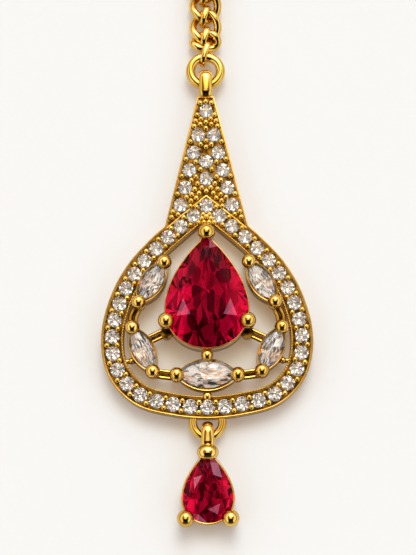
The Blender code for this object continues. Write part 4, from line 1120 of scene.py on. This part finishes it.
# Top bail and foot ring: a loop of half-round strap soldered to the spire's top, and a half ring of round
# wire under the halo, from which the drop hangs.
RING_Z = 0.0014
BAIL_STRAP = 0.0008
BAIL_WIDTH = 0.00170
BAIL_LENGTH = 0.0043
BAIL_DEPTH = 0.0028
BAIL_LIFT = 0.00004
BAIL_INTO_SPIRE = 0.0005
FOOT_RING_DIAMETER = 0.00465
FOOT_RING_WIRE = 0.00104
FOOT_RING_SINK = 0.00035
FOOT_RING_END = math.radians(15.0)


def strap_loop(length, depth, strap, width, arc_steps=16, flare=0.0):
    """A loop that stands across the floor, with straight sides and round ends, bent from a strap.

    flare is how much wider than its middle it is at its -Y end, as a share.
    """
    half_depth = (depth - strap) / 2
    straight = (length - strap) / 2 - half_depth
    points = []
    for end in (1, -1):
        for i in range(arc_steps + 1):
            turn = math.pi * i / arc_steps - math.pi / 2
            reach = straight + half_depth * math.cos(turn)
            points.append((0, end * reach, -end * half_depth * math.sin(turn)))
    mesh = drawn_wire(points, strap, closed=True, level=6)
    for corner in mesh.vertices:
        corner.co.x *= width / strap * (1 - flare * corner.co.y / (length / 2))
    return mesh


def ring_wire(centre, diameter, thickness, gap_from=None, segments=56):
    """A round ring of round wire that lies flat. gap_from leaves its +Y side open above that turn."""
    radius = (diameter - thickness) / 2
    if gap_from is None:
        turns = [2 * math.pi * i / segments for i in range(segments)]
    else:
        turns = [gap_from - (math.pi + 2 * gap_from) * i / segments for i in range(segments + 1)]
    points = [(centre[0] + radius * math.cos(t), centre[1] + radius * math.sin(t), centre[2]) for t in turns]
    return drawn_wire(points, thickness, closed=gap_from is None, level=6)


bail_y = SPIRE_TOP_Y - BAIL_INTO_SPIRE + BAIL_LENGTH / 2
bail_z = BAIL_LIFT + BAIL_DEPTH / 2
top_bail_mesh = strap_loop(BAIL_LENGTH, BAIL_DEPTH, BAIL_STRAP, BAIL_WIDTH)
top_bail_mesh.transform(Matrix.Translation((0, bail_y, bail_z)))
foot_ring_y = HALO_FOOT_Y - HALO_BAND / 2 - FOOT_RING_SINK
foot_ring_mesh = ring_wire((0, foot_ring_y, RING_Z), FOOT_RING_DIAMETER, FOOT_RING_WIRE, FOOT_RING_END)
ring_gold = gold_plate("ring_gold", polish=0.05, wear=0.05)
frame_loops = laid(gathered("frame_loops", [top_bail_mesh, foot_ring_mesh]), ring_gold)
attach(frame_loops, "root")
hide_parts("pave_frame")


# Drop: a small foil-backed red pear in its own cup, hung by a strap bail from the foot ring, with a broad
# ball prong at its tip and two round ones at its foot.
DROP_WIDTH = 0.0062
DROP_LENGTH = 0.0085
DROP_BAIL_LENGTH = 0.0038
DROP_BAIL_WIDTH = 0.00158
DROP_BAIL_FLARE = 0.20
DROP_GIRDLE_Z = 0.0024
DROP_WALL = 0.00018
DROP_CROWN = 0.00088
DROP_PAVILION = 0.0016
DROP_HEART_Y = -0.0005
DROP_TOP_BALL = 0.00212
DROP_TOP_SPREAD = 1.26     # the top ball's width to its length
DROP_LOW_BALL = 0.00210
DROP_LOW_BALL_TURN = math.radians(139.5)
DROP_LOW_BALL_OUT = 0.0005
DROP_BALL_LIFT = 0.0004
DROP_TIP_TO_BAIL = 0.00001
DROP_TOP_OUT = -0.00006

drop_bail_y = foot_ring_y - (FOOT_RING_DIAMETER - FOOT_RING_WIRE) / 2
drop_tip_y = drop_bail_y - DROP_BAIL_LENGTH / 2 - DROP_TIP_TO_BAIL
drop_y = drop_tip_y - DROP_LENGTH / 2
drop_plan = pear_plan(DROP_WIDTH, DROP_LENGTH)
to_drop = Matrix.Translation((0, drop_y, 0))
drop_cup_mesh = closed_cup("drop_cup", drop_plan, DROP_GIRDLE_Z, DROP_WALL)
drop_cup_mesh.transform(to_drop)
drop_ball_z = DROP_GIRDLE_Z + DROP_BALL_LIFT
top_ball_place = (0.0, drop_tip_y + DROP_TOP_OUT)
drop_bail_mesh = strap_loop(DROP_BAIL_LENGTH, BAIL_DEPTH, BAIL_STRAP, DROP_BAIL_WIDTH, flare=DROP_BAIL_FLARE)
drop_bail_mesh.transform(Matrix.Translation((0, drop_bail_y, bail_z)))
drop_top = ball_prong((0.0, 0.0), DROP_TOP_BALL, PRONG_FOOT_Z, drop_ball_z)
for mesh in drop_top:
    mesh.transform(Matrix.Translation((*top_ball_place, 0)) @ Matrix.Diagonal((DROP_TOP_SPREAD, 1, 1, 1)))
drop_meshes = [drop_bail_mesh] + drop_top
drop_foot = plan_place(drop_plan, DROP_LOW_BALL_TURN, DROP_LOW_BALL_OUT)
for side in (1, -1):
    drop_foot_place = (side * drop_foot.x, drop_y + drop_foot.y)
    drop_meshes += ball_prong(drop_foot_place, DROP_LOW_BALL, PRONG_FOOT_Z, drop_ball_z)
drop_cup = laid(drop_cup_mesh, setting_gold)
drop_prongs = laid(gathered("drop_prongs", drop_meshes), ball_gold)
for piece in (drop_cup, drop_prongs):
    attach(piece, "root")
    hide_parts("drop_setting")
drop_mesh = brilliant("drop_pear", drop_plan, DROP_HEART_Y, mains=8, sub=4, backs=8, table=RUBY_TABLE,
                      crown=DROP_CROWN, pavilion=DROP_PAVILION, girdle=RUBY_GIRDLE, seed=586)
drop_mesh.transform(Matrix.Translation((0, drop_y, DROP_GIRDLE_Z)))
drop_pear = laid(drop_mesh, ruby_glass, ruby_foil)
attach(drop_pear, "root")
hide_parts("drop_ruby")


# Jump ring: a round ring of heavy round wire that joins the top bail to the chain.
JUMP_DIAMETER = 0.00512
JUMP_WIRE = 0.00122
JUMP_SEAT = 0.0001

jump_radius = (JUMP_DIAMETER - JUMP_WIRE) / 2
jump_y = bail_y + JUMP_SEAT + jump_radius
jump_mesh = gathered("jump_ring_wire", [ring_wire((0, jump_y, RING_Z), JUMP_DIAMETER, JUMP_WIRE)])
jump_piece = laid(jump_mesh, ring_gold)
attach(jump_piece, "root")
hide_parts("jump_ring")


# Chain: curb links of round gold wire, each an oval twisted from end to end and locked into the next, with
# a small flat ring closed over each junction. The first link is shorter.
CHAIN_LINKS = 15
LINK_WIDTH = 0.0043
LINK_WIRE = 0.00102
LINK_GAP = 0.00005
LINK_PITCH = 0.00295
LINK_TWIST = math.radians(34.0)
LINK_STEPS = 48            # round each link
LINK_WIRE_SIDES = 14
FIRST_LINK_LENGTH = 0.00315
FIRST_LINK_TWIST = math.radians(18.0)
SMALL_RING_WIRE = 0.00040
SMALL_RING_WIDTH = 0.00080
SMALL_RING_DEPTH = 0.00236
SMALL_RING_TILT = math.radians(-16.0)
SMALL_RING_GAP = 0.00014
END_RING_GAP = 0.00026
CHAIN_FLOOR_GAP = 0.00002
HOOK_WIRE = 0.0009


def link_row_tree():
    """Geometry nodes that bend round wire into twisted oval links and lay them in a row along Y."""
    tree, links = open_tree("link_row", (
        ("Links", "Int"), ("Pitch", "Float"), ("Half width", "Float"), ("Half length", "Float"),
        ("Wire radius", "Float"), ("Low twist", "Float"), ("High twist", "Float"), ("Finish", "Material")),
        "Chain")
    oval = links.node("GeometryNodeCurvePrimitiveCircle", inputs={"Resolution": LINK_STEPS, "Radius": 1.0})
    x = links.node("ShaderNodeSeparateXYZ", inputs={0: links.node("GeometryNodeInputPosition")})
    y = x.beside(1)
    low = links.beside("Low twist")
    twist = low + (links.beside("High twist") - low) * (y + 1.0) * 0.5
    wide = x * links.beside("Half width")
    place = links.node("ShaderNodeCombineXYZ", inputs={
        0: wide * links.math("COSINE", twist),
        1: y * links.beside("Half length"),
        2: wide * links.math("SINE", twist)})
    bent = links.node("GeometryNodeSetPosition", inputs={"Geometry": oval, "Position": place})
    section = links.node("GeometryNodeCurvePrimitiveCircle",
                         inputs={"Resolution": LINK_WIRE_SIDES, "Radius": links.beside("Wire radius")})
    wire = links.node("GeometryNodeCurveToMesh", inputs={"Curve": bent, "Profile Curve": section})
    step = links.node("ShaderNodeCombineXYZ", inputs={1: links.beside("Pitch")})
    row = links.node("GeometryNodeMeshLine", inputs={"Count": links, "Offset": step})
    copies = links.node("GeometryNodeInstanceOnPoints", inputs={"Points": row, "Instance": wire})
    real = links.node("GeometryNodeRealizeInstances", inputs={0: copies})
    finished = links.node("GeometryNodeSetMaterial",
                          inputs={"Geometry": real, "Material": links.beside("Finish")})
    links.node("NodeGroupOutput", inputs={0: finished})
    return tree


link_row = link_row_tree()
chain_gold = gold_plate("chain_gold", polish=0.06, wear=0.08)


def link_mesh(name, count, length, low_twist, high_twist):
    made = run_nodes(name, bpy.data.meshes.new("start"), link_row, {
        "Links": count, "Pitch": LINK_PITCH, "Half width": (LINK_WIDTH - LINK_WIRE) / 2,
        "Half length": (length - LINK_WIRE) / 2, "Wire radius": LINK_WIRE / 2, "Low twist": low_twist,
        "High twist": high_twist, "Finish": chain_gold})
    shape = bmesh.new()
    shape.from_mesh(made)
    return finished_mesh(name, shape, smooth_angle=180.0)


def small_ring(first_wire, second_wire, apart, gap):
    """The small ring over a junction of two wires whose middles lie apart."""
    length = apart + (first_wire + second_wire) / 2 + 2 * gap + 2 * SMALL_RING_WIRE
    ring = strap_loop(length, SMALL_RING_DEPTH, SMALL_RING_WIRE, SMALL_RING_WIDTH, arc_steps=8)
    ring.transform(Matrix.Rotation(SMALL_RING_TILT, 4, "Z"))
    return ring


chain_z = CHAIN_FLOOR_GAP + SMALL_RING_DEPTH / 2
link_overlap = LINK_WIRE + LINK_GAP
link_length = LINK_PITCH + link_overlap + LINK_WIRE
jump_top_y = jump_y + jump_radius
first_low_y = jump_top_y + (JUMP_WIRE + LINK_WIRE) / 2 + LINK_GAP
first_high_y = first_low_y + FIRST_LINK_LENGTH - LINK_WIRE
last_high_y = first_high_y + (CHAIN_LINKS - 1) * LINK_PITCH
first_link = link_mesh("first_link", 1, FIRST_LINK_LENGTH, -FIRST_LINK_TWIST, LINK_TWIST)
first_link.transform(Matrix.Translation((0, (first_low_y + first_high_y) / 2, chain_z)))
other_links = link_mesh("other_links", CHAIN_LINKS - 1, link_length, -LINK_TWIST, LINK_TWIST)
second_y = first_high_y - link_overlap + (link_length - LINK_WIRE) / 2
other_links.transform(Matrix.Translation((0, second_y, chain_z)))
curb_links = laid(gathered("curb_links", [first_link, other_links], smooth_angle=180.0), chain_gold)
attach(curb_links, "root")
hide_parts(*[f"chain_link_{n:02d}" for n in range(1, CHAIN_LINKS + 1)])

first_ring = small_ring(JUMP_WIRE, LINK_WIRE, first_low_y - jump_top_y, END_RING_GAP)
first_ring_y = (jump_top_y - JUMP_WIRE / 2 + first_low_y + LINK_WIRE / 2) / 2
first_ring.transform(Matrix.Translation((0, first_ring_y, chain_z)))
ring_places = [(0, first_high_y - link_overlap / 2 + n * LINK_PITCH, chain_z) for n in range(CHAIN_LINKS - 1)]
row_ring = small_ring(LINK_WIRE, LINK_WIRE, link_overlap, SMALL_RING_GAP)
row_rings = set_pieces("row_rings", ring_places, row_ring, (0.0, 0.0, 0.0), chain_gold)
eye_low_y = last_high_y + (LINK_WIRE + HOOK_WIRE) / 2 + LINK_GAP
last_ring = small_ring(LINK_WIRE, HOOK_WIRE, eye_low_y - last_high_y, END_RING_GAP)
last_ring_y = (last_high_y - LINK_WIRE / 2 + eye_low_y + HOOK_WIRE / 2) / 2
last_ring.transform(Matrix.Translation((0, last_ring_y, chain_z)))
ring_row = gathered("junction_rings", [first_ring, row_rings, last_ring], smooth_angle=60.0)
junction_rings = laid(ring_row, chain_gold)
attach(junction_rings, "root")
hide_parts(*[f"chain_ring_{n:02d}" for n in range(1, CHAIN_LINKS + 2)])


# Hair hook: one length of gold wire, an eye soldered shut, a
# shaft that slopes to the floor, a bend and a blunt point.
HOOK_EYE = 0.0034
HOOK_SHAFT = 0.0105
HOOK_BEND = 0.0034
HOOK_POINT = 0.0065
HOOK_BEND_STEPS = 18

eye_radius = (HOOK_EYE - HOOK_WIRE) / 2
eye_y = eye_low_y + eye_radius
bend_radius = (HOOK_BEND - HOOK_WIRE) / 2
shaft_y = eye_y + eye_radius
bend_y = shaft_y + HOOK_SHAFT
hook_path = [(0.0, shaft_y), (0.0, bend_y)]
for i in range(1, HOOK_BEND_STEPS + 1):
    turn = math.pi * i / HOOK_BEND_STEPS
    hook_path.append((bend_radius * (1 - math.cos(turn)), bend_y + bend_radius * math.sin(turn)))
hook_path.append((2 * bend_radius, bend_y - HOOK_POINT + HOOK_WIRE / 2))
hook_floor_z = HOOK_WIRE / 2 + CHAIN_FLOOR_GAP
fall = (chain_z - hook_floor_z) / (bend_y + bend_radius - shaft_y)
hook_line = [(x, y, max(hook_floor_z, chain_z - (y - shaft_y) * fall)) for x, y in hook_path[:-1]]
hook_line.append((*hook_path[-1], hook_floor_z))
hook_meshes = [ring_wire((0, eye_y, chain_z), HOOK_EYE, HOOK_WIRE), drawn_wire(hook_line, HOOK_WIRE, level=5),
               ball(HOOK_WIRE, segments=20, rings=12, centre=hook_line[-1])]
hook_piece = laid(gathered("hair_hook_wire", hook_meshes), chain_gold)
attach(hook_piece, "root")
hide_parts("hair_hook")
